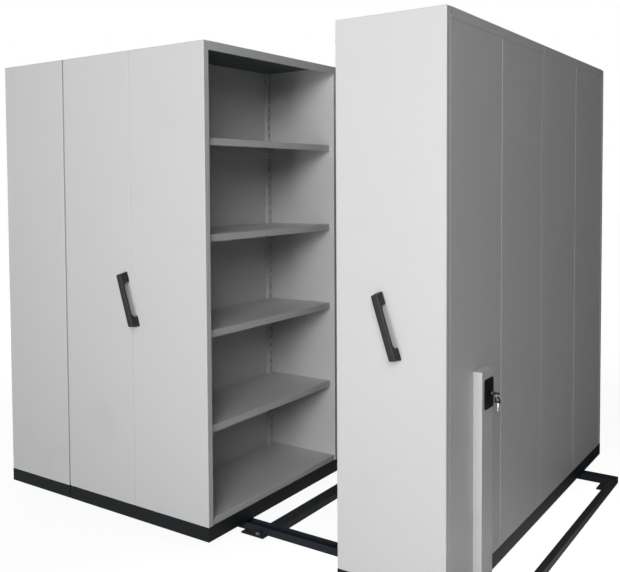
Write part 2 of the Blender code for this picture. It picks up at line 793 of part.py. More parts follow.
def make_track():
    """Two rails, each in two lengths that meet at the joint, and the bars between them."""
    rod_x = RIGHT_LEFT + UNIT_DEPTH + ROD_CENTRE
    near = ROD_RADIUS + KEEPER_PLAY
    inner = RAIL_WIDTH / 2 - RAIL_WALL / 2
    for end, y, outward in (("front", FRONT_RAIL, -1), ("rear", REAR_RAIL, 1)):
        name = f"{end}_rail_left"
        rail(name, y, RAIL_START, JOINT_PLACE - SEAT_GAP, joint_lug(name, y, outward))
        name = f"{end}_rail_right"
        low = (RAIL_END - STOP_PLATE, y - inner, RAIL_WEB / 2)
        high = (RAIL_END, y + inner, RAIL_HEIGHT)
        added = [box_between(name, low, high)]
        if end == "front":
            top = RAIL_WEB + KEEPER_HEIGHT
            for start in (rod_x - near - KEEPER_LENGTH, rod_x + near):
                low = (start, y - inner, RAIL_WEB / 2)
                high = (start + KEEPER_LENGTH, y + inner, top)
                added.append(box_between(name, low, high))
        rail(name, y, JOINT_PLACE, RAIL_END, added)
    crossbar("left_end_crossbar", RAIL_START, END_BAR_WIDTH, 1)
    crossbar("joint_crossbar", JOINT_PLACE - JOINT_BAR_WIDTH / 2, JOINT_BAR_WIDTH, 0)
    crossbar("right_end_crossbar", RAIL_END - END_BAR_WIDTH, END_BAR_WIDTH, -1)


def bearing_plates():
    """The pairs of plates that carry the shafts on both sides of each wheel."""
    bottom = PLINTH_BOTTOM - CROSS_PLATE_DROP
    plates = []
    for y in RAILS:
        for side in (-1, 1):
            middle = y + side * PLATE_OFFSET
            plates.append((middle - CROSS_PLATE / 2, middle + CROSS_PLATE / 2, bottom))
    return plates


def make_static_unit():
    """The fixed unit at the left end, which stands on the rails and opens to the right."""
    half = RAIL_WIDTH / 2
    beams = [(y - half, y + half, RAIL_HEIGHT + SEAT_GAP) for y in RAILS]
    base_frame("static_plinth", TRACK, UNIT_DEPTH, beams, ())
    end_panel("static_front_panel", TRACK, 0, UNIT_DEPTH, True)
    end_panel("static_rear_panel", TRACK, 0, UNIT_DEPTH, False)
    top_panel("static_top", TRACK, UNIT_DEPTH, (0,))
    for end, bay in BAYS.items():
        back_panel(f"static_back_panel_{end}", TRACK, bay, BACK_RECESS, 1)
    upright = (EDGE_RECESS, UNIT_DEPTH - EDGE_RECESS)
    shelf_back = BACK_RECESS + POST_DEPTH + SEAT_GAP
    shelves = (shelf_back, UNIT_DEPTH - SHELF_RECESS)
    base = (shelf_back, UNIT_DEPTH - BASE_RECESS)
    shelf_rack("static_shelf_rack", TRACK, upright, shelves, base)


def add_clips(shelf, back, top, bay):
    """Clips under the back lip of a shelf, each with a hook that enters a slot of its post.

    back is the X of the shelf's back edge and top the height of its upper face.
    """
    name = shelf.name
    foot = hook_foot(top)
    post_inside = back - SEAT_GAP - PANEL_SHEET
    clips = []
    for y in post_lines(bay):
        low = (back + PANEL_SHEET / 3, y - CLIP_WIDTH / 2, foot)
        high = (back + CLIP_REACH, y + CLIP_WIDTH / 2, foot + CLIP_HEIGHT + SHELF_FOLD)
        clips.append(box_between(name, low, high))
        half = SLOT_WIDTH / 2 - SEAT_GAP
        low = (post_inside - CLIP_HOOK, y - half, foot + SEAT_GAP)
        high = (back + CLIP_REACH / 2, y + half, foot + CLIP_HEIGHT - SEAT_GAP)
        clips.append(box_between(name, low, high))
    shape(shelf, "UNION", clips)


def make_middle_carriage():
    """The double carriage, open on both sides, which closes up against the fixed unit."""
    axles = (AXLE_INSET, DOUBLE_DEPTH - AXLE_INSET)
    base_frame("middle_carriage_frame", MIDDLE, DOUBLE_DEPTH, bearing_plates(), axles)
    panel_width = (DOUBLE_DEPTH - PANEL_SEAM) / 2
    end_panel("middle_front_panel_left", MIDDLE, 0, panel_width, True)
    right_start = DOUBLE_DEPTH - panel_width
    end_panel("middle_front_panel_right", MIDDLE, right_start, panel_width, True)
    end_panel("middle_rear_panel", MIDDLE, 0, DOUBLE_DEPTH, False)
    top_panel("middle_top", MIDDLE, DOUBLE_DEPTH, ())
    centre = DOUBLE_DEPTH / 2
    for end, bay in BAYS.items():
        divider(f"middle_divider_{end}", MIDDLE, bay)
    left_upright = (EDGE_RECESS, centre - SEAT_GAP / 2)
    left_back = centre - DIVIDER_REACH - SEAT_GAP
    left_shelves = (SHELF_RECESS, left_back)
    left_base = (BASE_RECESS, left_back)
    shelf_rack("middle_left_shelf_rack", MIDDLE, left_upright, left_shelves, left_base)
    name = "middle_right_upright"
    low_x = centre + SEAT_GAP / 2
    high_x = DOUBLE_DEPTH - EDGE_RECESS
    place_y = MID_LENGTH - UPRIGHT_THICKNESS / 2
    mesh = upright_mesh(name, low_x, high_x)
    place(name, mesh, "grey_enamel", MIDDLE, (low_x, place_y, BODY_FOOT))
    shelf_back = centre + DIVIDER_REACH + SEAT_GAP
    levels = [("base", BASE_LEVEL, BASE_LIP, BASE_RECESS)]
    for number, top in enumerate(shelf_tops(), start=1):
        levels.append((f"shelf_{number}", top, SHELF_LIP, SHELF_RECESS))
    for end, bay in BAYS.items():
        for level, top, lip, recess in levels:
            name = f"middle_{end}_bay_{level}"
            front = DOUBLE_DEPTH - recess
            mesh = shelf_mesh(name, shelf_back, front, BAY_CLEAR - 2 * SEAT_GAP, lip)
            location = (shelf_back, bay[0] + SEAT_GAP, top - lip)
            shelf = place(name, mesh, "grey_enamel", MIDDLE, location)
            thicken(shelf, PANEL_SHEET, SHELF_FOLD, 2)
            if level != "base":
                add_clips(shelf, shelf_back, top, bay)
    pull_handle("middle_handle", MIDDLE, centre)
    for side, x in zip(("middle_left", "middle_right"), axles):
        axle_set(side, MIDDLE, x)


def make_right_carriage():
    """The single carriage, open to the left and closed by back panels on the right."""
    axles = (AXLE_INSET, UNIT_DEPTH - AXLE_INSET)
    base_frame("right_carriage_frame", RIGHT, UNIT_DEPTH, bearing_plates(), axles)
    end_panel("right_front_panel", RIGHT, 0, UNIT_DEPTH, True)
    end_panel("right_rear_panel", RIGHT, 0, UNIT_DEPTH, False)
    top_panel("right_top", RIGHT, UNIT_DEPTH, (UNIT_DEPTH,))
    for end, bay in BAYS.items():
        back_panel(f"right_back_panel_{end}", RIGHT, bay, UNIT_DEPTH - BACK_RECESS, -1)
    upright = (EDGE_RECESS, UNIT_DEPTH - EDGE_RECESS)
    shelf_back = UNIT_DEPTH - BACK_RECESS - POST_DEPTH - SEAT_GAP
    shelves = (SHELF_RECESS, shelf_back)
    base = (BASE_RECESS, shelf_back)
    shelf_rack("right_shelf_rack", RIGHT, upright, shelves, base)
    pull_handle("right_handle", RIGHT, UNIT_DEPTH / 2)
    for side, x in zip(("right_left", "right_right"), axles):
        axle_set(side, RIGHT, x)


def make_lock_box():
    """The painted box over the lock rod, with a guide for the rod and the black lock plate."""
    low_y = LOCK_Y - LOCK_WIDTH / 2
    foot = RAIL_HEIGHT + LOCK_FOOT_GAP
    low_x = UNIT_DEPTH + SEAT_GAP
    size = (LOCK_SKIN - low_x, LOCK_WIDTH, LOCK_TOP - foot)
    mesh = folded_sheet("lock_box", size, [((-1, 0, 0), 0.0), ((0, 0, -1), 0.0)])
    lock_box = place("lock_box", mesh, "grey_enamel", RIGHT, (low_x, low_y, foot))
    thicken(lock_box, PANEL_SHEET)
    half = PANEL_SHEET / 2
    low = (low_x + SEAT_GAP, low_y + half, GUIDE_HEIGHT)
    high = (LOCK_SKIN - half, low_y + LOCK_WIDTH - half, GUIDE_HEIGHT + GUIDE_THICKNESS)
    shape(lock_box, "UNION", [box_between("lock_box", low, high)])
    barrel_hole = cylinder("lock_box", BARREL_RADIUS + SEAT_GAP, LOCK_REACH, BARREL_SIDES)
    rod_hole = cylinder("lock_box", ROD_RADIUS + SEAT_GAP, 4 * GUIDE_THICKNESS, ROD_SIDES)
    rod_place = (UNIT_DEPTH + ROD_CENTRE, FRONT_RAIL, GUIDE_HEIGHT)
    across = (0, math.pi / 2, 0)
    bores = [
        (barrel_hole, (LOCK_SKIN, BARREL_Y, BARREL_Z), across),
        (rod_hole, rod_place, (0, 0, 0)),
    ]
    shape(lock_box, "DIFFERENCE", bores)
    outline = rounded_rectangle(LOCK_PLATE_WIDTH, LOCK_PLATE_HEIGHT, LOCK_PLATE_ROUND, 4)
    hole = circle(BARREL_Y - LOCK_PLATE_Y, 0, BARREL_RADIUS + SEAT_GAP, BARREL_SIDES)
    mesh = prism("lock_plate", [outline, hole], LOCK_PLATE_THICKNESS)
    location = (LOCK_SKIN + SEAT_GAP, LOCK_PLATE_Y, BARREL_Z)
    place("lock_plate", mesh, "lock_black", RIGHT, location, ALONG_X)


def make_lock_barrel():
    """The turning barrel with its collar, keyway and cam, set on the barrel's axis."""
    barrel = empty("lock_barrel", (LOCK_SKIN, BARREL_Y, BARREL_Z), RIGHT)
    face = 2 * SEAT_GAP + LOCK_PLATE_THICKNESS
    cam_back = ROD_CENTRE + ROD_HEAD_THICKNESS / 2 + SEAT_GAP - LOCK_REACH
    cam_front = cam_back + CAM_THICKNESS
    front = face + BARREL_COLLAR_THICKNESS
    length = front - cam_back
    mesh = cylinder("lock_cylinder", BARREL_RADIUS, length, BARREL_SIDES)
    along = (0, math.pi / 2, 0)
    centre = ((front + cam_back) / 2, 0, 0)
    obj = place("lock_cylinder", mesh, "bright_steel", barrel, centre, along)
    collar = cylinder("lock_cylinder", BARREL_COLLAR, BARREL_COLLAR_THICKNESS, BARREL_SIDES)
    middle = face + BARREL_COLLAR_THICKNESS / 2
    pin_angle = 3 * math.pi / 4
    pin_y = CAM_RADIUS * math.cos(pin_angle)
    pin_z = CAM_RADIUS * math.sin(pin_angle)
    arm_length = CAM_RADIUS + CAM_WIDTH / 2
    arm = box("lock_cylinder", (CAM_THICKNESS, CAM_WIDTH, arm_length))
    swing = Matrix.Rotation(pin_angle - math.pi / 2, 3, "X")
    arm_place = swing @ Vector((cam_back, -CAM_WIDTH / 2, 0))
    pin_back = ROD_CENTRE - ROD_HEAD_THICKNESS / 2 - LOCK_REACH
    pin_length = cam_front - CAM_THICKNESS / 2 - pin_back
    pin = cylinder("lock_cylinder", CAM_PIN_RADIUS, pin_length, ROD_SIDES)
    added = [
        (collar, (middle, 0, 0), along),
        (arm, arm_place, swing.to_euler()),
        (pin, (pin_back + pin_length / 2, pin_y, pin_z), along),
    ]
    shape(obj, "UNION", added)
    half_thick = KEY_BLADE_THICKNESS / 2 + KEYWAY_PLAY
    half_wide = KEY_BLADE_WIDTH / 2 + KEYWAY_PLAY
    depth = front - KEY_BLADE_LENGTH - KEYWAY_PLAY
    low = (depth, -half_wide, -half_thick)
    keyway = box_between("lock_cylinder", low, (front + length, half_wide, half_thick))
    shape(obj, "DIFFERENCE", [keyway])
    return barrel, front


def bow_mesh(name):
    """A key's arched bow, drawn in XY about its eye, with the flat shoulder towards -X."""
    outline = [(-KEY_SHOULDER, -KEY_BOW_RADIUS)]
    for step in range(KEY_SIDES + 1):
        angle = math.pi * step / KEY_SIDES - math.pi / 2
        outline.append((KEY_BOW_RADIUS * math.cos(angle), KEY_BOW_RADIUS * math.sin(angle)))
    outline.append((-KEY_SHOULDER, KEY_BOW_RADIUS))
    eye = circle(0, 0, KEY_HOLE_RADIUS, ROD_SIDES)
    return prism(name, [outline, eye], KEY_BOW_THICKNESS)


def blade_mesh(name):
    """A key's tapering blade, drawn in XY about the eye, from inside the shoulder along -X."""
    half_wide = KEY_BLADE_WIDTH / 2
    half_tip = KEY_TIP_WIDTH / 2
    start = -(KEY_SHOULDER + KEY_HOLE_RADIUS) / 2
    tip = -KEY_SHOULDER - KEY_NECK - KEY_BLADE_LENGTH
    outline = [(tip, -half_tip), (start, -half_wide), (start, half_wide), (tip, half_tip)]
    return prism(name, [outline], KEY_BLADE_THICKNESS)


def make_key(barrel, front):
    """The key that lies flat in the barrel, with a thick bow. Returns the X of the bow's eye."""
    eye_x = front + KEY_NECK + KEY_SHOULDER
    location = (eye_x, 0, -KEY_BOW_THICKNESS / 2)
    key = place("key", bow_mesh("key"), "key_plastic", barrel, location)
    blade_place = (eye_x, 0, -KEY_BLADE_THICKNESS / 2)
    shape(key, "UNION", [(blade_mesh("key"), blade_place, (0, 0, 0))])
    return eye_x


def ring_mesh(name):
    """A ring about the origin that stands in YZ."""
    bm = bmesh.new()
    bmesh.ops.create_circle(bm, segments=RING_WIRE_SIDES, radius=RING_WIRE)
    bmesh.ops.translate(bm, verts=bm.verts, vec=(0, RING_RADIUS, 0))
    bmesh.ops.spin(
        bm,
        geom=bm.verts[:] + bm.edges[:],
        axis=(1, 0, 0),
        cent=(0, 0, 0),
        angle=2 * math.pi,
        steps=RING_STEPS,
        use_merge=True,
    )
    bmesh.ops.recalc_face_normals(bm, faces=bm.faces)
    return finish_mesh(bm, name)


def make_spare_key(barrel, eye_x):
    """The ring round the rim of the key's bow, with a second key hanging from it by its own eye."""
    name = "spare_key_on_ring"
    ring_y = (KEY_HOLE_RADIUS + KEY_BOW_RADIUS) / 2
    half_rim = (KEY_BOW_RADIUS - KEY_HOLE_RADIUS) / 2
    inside = (RING_RADIUS - RING_WIRE) * math.cos(math.pi / RING_STEPS) - SEAT_GAP
    ring_z = KEY_BOW_THICKNESS / 2 - math.sqrt(inside**2 - half_rim**2)
    hang = empty("spare_key", (eye_x, ring_y, ring_z), barrel)
    ring = place(name, ring_mesh(name), "bright_steel", hang, (0, 0, 0))
    eye_rim = KEY_HOLE_RADIUS * math.cos(math.pi / ROD_SIDES)
    eye_z = RING_WIRE / 2 - RING_RADIUS - eye_rim
    hanging = Matrix(((0, -1, 0), (0, 0, -1), (1, 0, 0))).to_euler()
    added = [
        (bow_mesh(name), (0, KEY_BOW_THICKNESS / 2, eye_z), hanging),
        (blade_mesh(name), (0, KEY_BLADE_THICKNESS / 2, eye_z), hanging),
    ]
    shape(ring, "UNION", added)


def make_lock_rod():
    """The round rod that drops between the keepers, with a slotted head round the cam pin."""
    rod = empty("lock_rod_guide", (UNIT_DEPTH + ROD_CENTRE, FRONT_RAIL, BARREL_Z), RIGHT)
    pin_z = LOCK_THROW / 2
    half_slot = CAM_PIN_RADIUS + PIN_PLAY
    slot_low_y = BARREL_OFFSET - CAM_RADIUS - half_slot
    slot_high_y = BARREL_OFFSET - CAM_RADIUS * math.cos(math.pi / 4) + half_slot
    half_thick = ROD_HEAD_THICKNESS / 2
    head_low_y = min(slot_low_y - ROD_HEAD_MARGIN, -ROD_RADIUS - SEAT_GAP)
    head_low = (-half_thick, head_low_y, pin_z - half_slot - ROD_HEAD_MARGIN)
    head_high = (half_thick, slot_high_y + ROD_HEAD_MARGIN, pin_z + half_slot + ROD_HEAD_MARGIN)
    bottom = RAIL_HEIGHT + ROD_TIP_GAP - BARREL_Z
    length = head_low[2] + ROD_HEAD_MARGIN / 2 - bottom
    mesh = cylinder("lock_rod", ROD_RADIUS, length, ROD_SIDES)
    obj = place("lock_rod", mesh, "bright_steel", rod, (0, 0, bottom + length / 2))
    shape(obj, "UNION", [box_between("lock_rod", head_low, head_high)])
    low = (-ROD_HEAD_THICKNESS, slot_low_y, pin_z - half_slot)
    high = (ROD_HEAD_THICKNESS, slot_high_y, pin_z + half_slot)
    shape(obj, "DIFFERENCE", [box_between("lock_rod", low, high)])
    smooth(obj)


clear_scene()
PARTS = make_collection("mobile_shelving_compactor")
CUTTERS = make_collection("cutters")
MATERIALS = {name: make_finish(name) for name in FINISHES}
TRACK = empty("track", (-CENTRE_X, -CENTRE_Y, 0))
MIDDLE = empty("middle_carriage", (MIDDLE_LEFT, 0, 0), TRACK)
RIGHT = empty("right_carriage", (RIGHT_LEFT, 0, 0), TRACK)
make_track()
make_static_unit()
make_middle_carriage()
make_right_carriage()
make_lock_box()
BARREL, KEY_FACE = make_lock_barrel()
KEY_EYE = make_key(BARREL, KEY_FACE)
make_spare_key(BARREL, KEY_EYE)
make_lock_rod()
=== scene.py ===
"""Looks of a hand-pushed mobile shelving compactor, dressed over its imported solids.

The solids give every place and size. This script paints them, builds the finer backs, handles,
wheels, keys and screws that stand for the plain ones, and sets up the studio and the camera.
"""

import json
import logging
import math
from abc import ABC, abstractmethod
from dataclasses import dataclass, field
from enum import Enum
from typing import Any

import bmesh
import bpy
import numpy as np
from mathutils import Euler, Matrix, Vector


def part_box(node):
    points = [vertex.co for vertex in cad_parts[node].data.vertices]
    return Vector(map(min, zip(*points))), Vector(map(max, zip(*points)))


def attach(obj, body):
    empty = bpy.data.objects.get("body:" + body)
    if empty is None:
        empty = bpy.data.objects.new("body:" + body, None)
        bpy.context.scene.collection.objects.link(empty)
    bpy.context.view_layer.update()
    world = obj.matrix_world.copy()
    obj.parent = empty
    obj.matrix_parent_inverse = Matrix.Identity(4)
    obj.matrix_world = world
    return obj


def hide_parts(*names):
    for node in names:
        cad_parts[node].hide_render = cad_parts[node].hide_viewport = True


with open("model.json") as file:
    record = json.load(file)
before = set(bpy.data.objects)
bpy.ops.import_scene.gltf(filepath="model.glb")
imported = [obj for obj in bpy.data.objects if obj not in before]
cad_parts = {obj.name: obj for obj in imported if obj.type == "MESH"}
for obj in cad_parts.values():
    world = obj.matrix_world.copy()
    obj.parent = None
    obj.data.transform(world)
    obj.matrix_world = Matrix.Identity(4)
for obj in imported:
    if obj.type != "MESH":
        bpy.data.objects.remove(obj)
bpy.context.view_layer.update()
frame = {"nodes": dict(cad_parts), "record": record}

LOG = logging.getLogger("compactor")
MERGE_DISTANCE = 1e-6
NEAR_ZERO = 1e-6
SHARP_DEGREES = 38.0
FOLD_SHARP_DEGREES = 5.0

Colour = tuple[float, float, float]
Point = tuple[float, float, float]
Span = tuple[float, float]
Corners = list[tuple[float, ...]]

WHITE: Colour = (1.0, 1.0, 1.0)


class Axis(Enum):
    """A direction that a round piece turns about, with the two directions across it."""

    X = ((1, 0, 0), (0, 1, 0), (0, 0, 1))
    Y = ((0, 1, 0), (0, 0, 1), (1, 0, 0))
    Z = ((0, 0, 1), (1, 0, 0), (0, 1, 0))

    @property
    def frame(self) -> np.ndarray:
        """Rows: along the axis, and the two directions across it."""
        return np.array(self.value, float)


# Shader values


class Value:
    """A shader socket that takes part in Python arithmetic."""

    def __init__(self, sheet: "ShaderSheet", socket: bpy.types.NodeSocket | None) -> None:
        """Wraps a node's output socket."""
        self.sheet = sheet
        self.socket = socket

    def __add__(self, other: Any) -> "Value":
        """self + other."""
        return self.sheet.math("ADD", self, other)

    def __sub__(self, other: Any) -> "Value":
        """self - other."""
        return self.sheet.math("SUBTRACT", self, other)

    def __rsub__(self, other: Any) -> "Value":
        """other - self."""
        return self.sheet.math("SUBTRACT", other, self)

    def __mul__(self, other: Any) -> "Value":
        """self * other."""
        return self.sheet.math("MULTIPLY", self, other)

    def __pow__(self, other: Any) -> "Value":
        """self to the power of other."""
        return self.sheet.math("POWER", self, other)

    def __rpow__(self, other: Any) -> "Value":
        """other to the power of self."""
        return self.sheet.math("POWER", other, self)

    __radd__ = __add__
    __rmul__ = __mul__


class ShaderSheet:
    """The node tree of one material or world, built by expressions."""

    def __init__(self, owner: bpy.types.ID) -> None:
        """Empties the owner's node tree.

        Args:
            owner: A material or a world.
        """
        owner.use_nodes = True
        self.tree = owner.node_tree
        self.tree.nodes.clear()

    @staticmethod
    def _socket(sockets: Any, key: str | int) -> bpy.types.NodeSocket:
        """The socket at a place, or the first with an identifier or a name."""
        named = (socket for socket in sockets if key in (socket.identifier, socket.name))
        return sockets[key] if isinstance(key, int) else next(named)

    def node(
        self,
        kind: str,
        settings: dict[str, Any] | None = None,
        inputs: dict[str | int, Any] | None = None,
        output: str | int = 0,
    ) -> Value:
        """Adds a node.

        Args:
            kind: The node's type.
            settings: Its own settings, set before its sockets.
            inputs: A number, colour or linked value for each named socket.
            output: The output that the result stands for.

        Returns:
            The chosen output, ready for arithmetic.
        """
        made = self.tree.nodes.new(kind)
        for key, setting in (settings or {}).items():
            setattr(made, key, setting)
        for key, given in (inputs or {}).items():
            socket = self._socket(made.inputs, key)
            if isinstance(given, Value):
                self.tree.links.new(given.socket, socket)
            elif isinstance(given, tuple) and socket.type == "RGBA":
                socket.default_value = (*given[:3], 1.0)
            else:
                socket.default_value = given
        if not made.outputs:
            return Value(self, None)
        return Value(self, self._socket(made.outputs, output))

    def math(self, operation: str, *terms: Any) -> Value:
        """A Math node on numbers and values."""
        inputs = dict(enumerate(terms))
        return self.node("ShaderNodeMath", {"operation": operation}, inputs)

    def ramp(self, value: Value, span: Span) -> Value:
        """The value brought from a span to 0..1, eased at both ends."""
        inputs = {"Value": value, "From Min": span[0], "From Max": span[1]}
        return self.node("ShaderNodeMapRange", {"interpolation_type": "SMOOTHSTEP"}, inputs)

    def mix(self, factor: Any, first: Any, second: Any) -> Value:
        """The colour that goes from the first to the second by a factor from 0 to 1."""
        inputs = {"Factor_Float": factor, "A_Color": first, "B_Color": second}
        return self.node("ShaderNodeMix", {"data_type": "RGBA"}, inputs, "Result_Color")

    def place(self) -> Value:
        """The point on the piece, in metres in the shared frame."""
        return self.node("ShaderNodeTexCoord", output="Object")

    def normal(self) -> Value:
        """The direction that the surface faces."""
        return self.node("ShaderNodeNewGeometry", output="Normal")

    def stretched(self, point: Value, scale: Point, centre: Point = (0, 0, 0)) -> Value:
        """Measures a point from a centre and stretches it along each axis.

        Args:
            point: The point.
            scale: How much each axis is stretched.
            centre: The point that becomes zero.

        Returns:
            The new point.
        """
        offset = tuple(-size * middle for size, middle in zip(scale, centre))
        inputs = {"Vector": point, "Location": offset, "Scale": scale}
        return self.node("ShaderNodeMapping", {"vector_type": "POINT"}, inputs)

    def noise(self, point: Value, scale: float = 1.0, detail: float = 2.0) -> Value:
        """Smooth noise from 0 to 1 with so many bumps to the metre."""
        inputs = {"Vector": point, "Scale": scale, "Detail": detail}
        return self.node("ShaderNodeTexNoise", None, inputs)

    def parts(self, vector: Value) -> tuple[Value, Value, Value]:
        """The three numbers of a point or a direction."""
        split = self.node("ShaderNodeSeparateXYZ", None, {"Vector": vector}).socket.node
        return tuple(Value(self, split.outputs[key]) for key in "XYZ")

    def bump(self, height: Value, strength: float, distance: float) -> Value:
        """The normal of a surface that rises by a height of 0 to 1 times a distance."""
        inputs = {"Height": height, "Strength": strength, "Distance": distance}
        return self.node("ShaderNodeBump", None, inputs)

    def surface(self, **sockets: Any) -> None:
        """Ends the tree with a Principled shader.

        Args:
            **sockets: What each socket gets, with underscores in its name for spaces.
        """
        inputs = {key.replace("_", " "): given for key, given in sockets.items()}
        shader = self.node("ShaderNodeBsdfPrincipled", None, inputs)
        self.node("ShaderNodeOutputMaterial", None, {"Surface": shader})


# Finishes


@dataclass(frozen=True)
class Finish(ABC):
    """A surface finish, written as a procedural material."""

    name: str

    def material(self) -> bpy.types.Material:
        """Makes the finish's material once.

        Returns:
            The material.
        """
        made = bpy.data.materials.get(self.name)
        if made is None:
            made = bpy.data.materials.new(self.name)
            self.paint(ShaderSheet(made))
        return made

    @abstractmethod
    def paint(self, sheet: ShaderSheet) -> None:
        """Builds the material's nodes on its empty sheet."""


@dataclass(frozen=True)
class GreyEnamel(Finish):
    """Semi-gloss stove enamel on sheet steel, darkened with painted shade where it faces down."""

    colour: Colour = (0.612, 0.603, 0.614)
    handled: Colour = (0.520, 0.512, 0.518)
    # Painted shade colour for faces that point down.
    underside_shade: Colour = (0.070, 0.100, 0.095)
    roughness: float = 0.42
    specular: float = 0.25
    facing_down: Span = (0.50, 0.95)
    drifts_per_metre: float = 1.7
    drift_share: float = 0.20
    smudges_per_metre: float = 5.5
    smudge_span: Span = (0.52, 0.80)
    smudge_share: float = 0.10
    low_smudge_share: float = 0.28
    smudge_dull: float = 0.06
    hand_height: Span = (0.10, 0.75)
    gloss_per_metre: float = 9.0
    gloss_swing: float = 0.10
    peel_per_metre: float = 420.0

    def paint(self, sheet: ShaderSheet) -> None:
        """Slow drift in colour, smudges low down, painted shade below, and orange peel as bump.

        Args:
            sheet: The material's empty sheet.
        """
        point = sheet.place()
        # Painted shade: faces that point down take a dark greenish colour.
        shade_below = sheet.ramp(0 - sheet.parts(sheet.normal())[2], self.facing_down)
        drift = sheet.noise(point, self.drifts_per_metre, detail=3.0)
        blots = sheet.noise(point, self.smudges_per_metre, detail=5.0)
        smudge = sheet.ramp(blots, self.smudge_span)
        low_down = 1 - sheet.ramp(sheet.parts(point)[2], self.hand_height)
        smudged = smudge * (low_down * self.low_smudge_share + self.smudge_share)
        worn = drift * self.drift_share + smudged
        coat = sheet.mix(worn, self.colour, self.handled)
        peel = sheet.noise(point, self.peel_per_metre, detail=1.5)
        gloss = sheet.noise(point, self.gloss_per_metre, detail=4.0)
        least = self.roughness - self.gloss_swing / 2
        sheet.surface(
            Base_Color=sheet.mix(shade_below, coat, self.underside_shade),
            Roughness=gloss * self.gloss_swing + least + smudge * self.smudge_dull,
            Specular_IOR_Level=self.specular,
            Normal=sheet.bump(peel, strength=0.06, distance=0.0004),
        )


@dataclass(frozen=True)
class BlackEnamel(Finish):
    """Satin black of plinths and track: dust and painted light on top, rubs along the track."""

    colour: Colour = (0.0125, 0.0155, 0.0165)
    # One colour for dust and for painted light on top.
    dust_and_top_light: Colour = (0.060, 0.061, 0.061)
    roughness: float = 0.50
    specular: float = 0.07
    facing_up: Span = (0.35, 0.95)
    dust_and_top_light_share: float = 0.35
    dust_dull: float = 0.5
    specks_per_metre: float = 38.0
    speck_span: Span = (0.40, 0.72)
    speck_share: float = 0.40
    rub_stretch: Point = (1.2, 26, 60)
    rub_scale: float = 3.0
    rub_span: Span = (0.60, 0.85)
    rub_share: float = 0.10
    grain_per_metre: float = 300.0

    def paint(self, sheet: ShaderSheet) -> None:
        """Dust where the surface faces up, long rubs along the track, and a rolled grain.

        Args:
            sheet: The material's empty sheet.
        """
        point = sheet.place()
        level = sheet.ramp(sheet.parts(sheet.normal())[2], self.facing_up)
        specks = sheet.noise(point, self.specks_per_metre, detail=6.0)
        speckle = sheet.ramp(specks, self.speck_span)
        streaks = sheet.noise(sheet.stretched(point, self.rub_stretch), self.rub_scale, detail=4.0)
        rub = sheet.ramp(streaks, self.rub_span)
        # Upward faces are lightened for dust and as painted light from above.
        dusty_and_lit = level * (speckle * self.speck_share + self.dust_and_top_light_share) + rub * self.rub_share
        grain = sheet.noise(point, self.grain_per_metre)
        sheet.surface(
            Base_Color=sheet.mix(dusty_and_lit, self.colour, self.dust_and_top_light),
            Roughness=dusty_and_lit * self.dust_dull + self.roughness,
            Specular_IOR_Level=self.specular,
            Normal=sheet.bump(grain, strength=0.08, distance=0.0004),
        )


@dataclass(frozen=True)
class MouldedPlastic(Finish):
    """Spark-grained dark plastic, with painted highlight and hand wear on its rounded edges."""

    colour: Colour = (0.030, 0.030, 0.032)
    # Painted highlight colour for the rounded edges.
    edge_highlight: Colour = (0.130, 0.130, 0.134)
    roughness: float = 0.50
    specular: float = 0.12
    highlight_share: float = 0.55
    polish_gloss: float = 0.20
    patches_per_metre: float = 60.0
    patch_share: float = 0.7
    patch_dull: float = 0.06
    grain_per_metre: float = 1400.0

    def paint(self, sheet: ShaderSheet) -> None:
        """A fine pebble grain that fades out on the marked edges, which take a painted highlight.

        Args:
            sheet: The material's empty sheet.
        """
        point = sheet.place()
        edge = sheet.node("ShaderNodeAttribute", {"attribute_name": "edge"}, output="Fac")
        patchy = sheet.noise(point, self.patches_per_metre, detail=3.0)
        # Painted highlight and hand wear along the marked edges, in patches.
        highlit_and_worn = edge * (patchy * self.patch_share + (1 - self.patch_share))
        cells = {"Vector": point, "Scale": self.grain_per_metre}
        grain = sheet.node("ShaderNodeTexVoronoi", {"feature": "SMOOTH_F1"}, cells)
        sheet.surface(
            Base_Color=sheet.mix(highlit_and_worn * self.highlight_share, self.colour, self.edge_highlight),
            Roughness=self.roughness - highlit_and_worn * self.polish_gloss + patchy * self.patch_dull,
            Specular_IOR_Level=self.specular,
            Normal=sheet.bump(grain * (1 - highlit_and_worn), strength=0.25, distance=0.0003),
        )


@dataclass(frozen=True)
class GlossBlack(Finish):
    """Glossy black of the lock plate, with faint wiping marks."""

    colour: Colour = (0.0045, 0.0056, 0.0056)
    worn: Colour = (0.016, 0.019, 0.018)
    roughness: float = 0.34
    specular: float = 0.05
    wipe_stretch: Point = (1, 260, 22)
    wipe_span: Span = (0.50, 0.80)
    mark_share: float = 0.6
    mark_dull: float = 0.22

    def paint(self, sheet: ShaderSheet) -> None:
        """Wiping marks run up and down the plate.

        Args:
            sheet: The material's empty sheet.
        """
        wiped = sheet.noise(sheet.stretched(sheet.place(), self.wipe_stretch), detail=4.0)
        marks = sheet.ramp(wiped, self.wipe_span)
        sheet.surface(
            Base_Color=sheet.mix(marks * self.mark_share, self.colour, self.worn),
            Roughness=marks * self.mark_dull + self.roughness,
            Specular_IOR_Level=self.specular,
            Normal=sheet.bump(wiped, strength=0.03, distance=0.0003),
        )


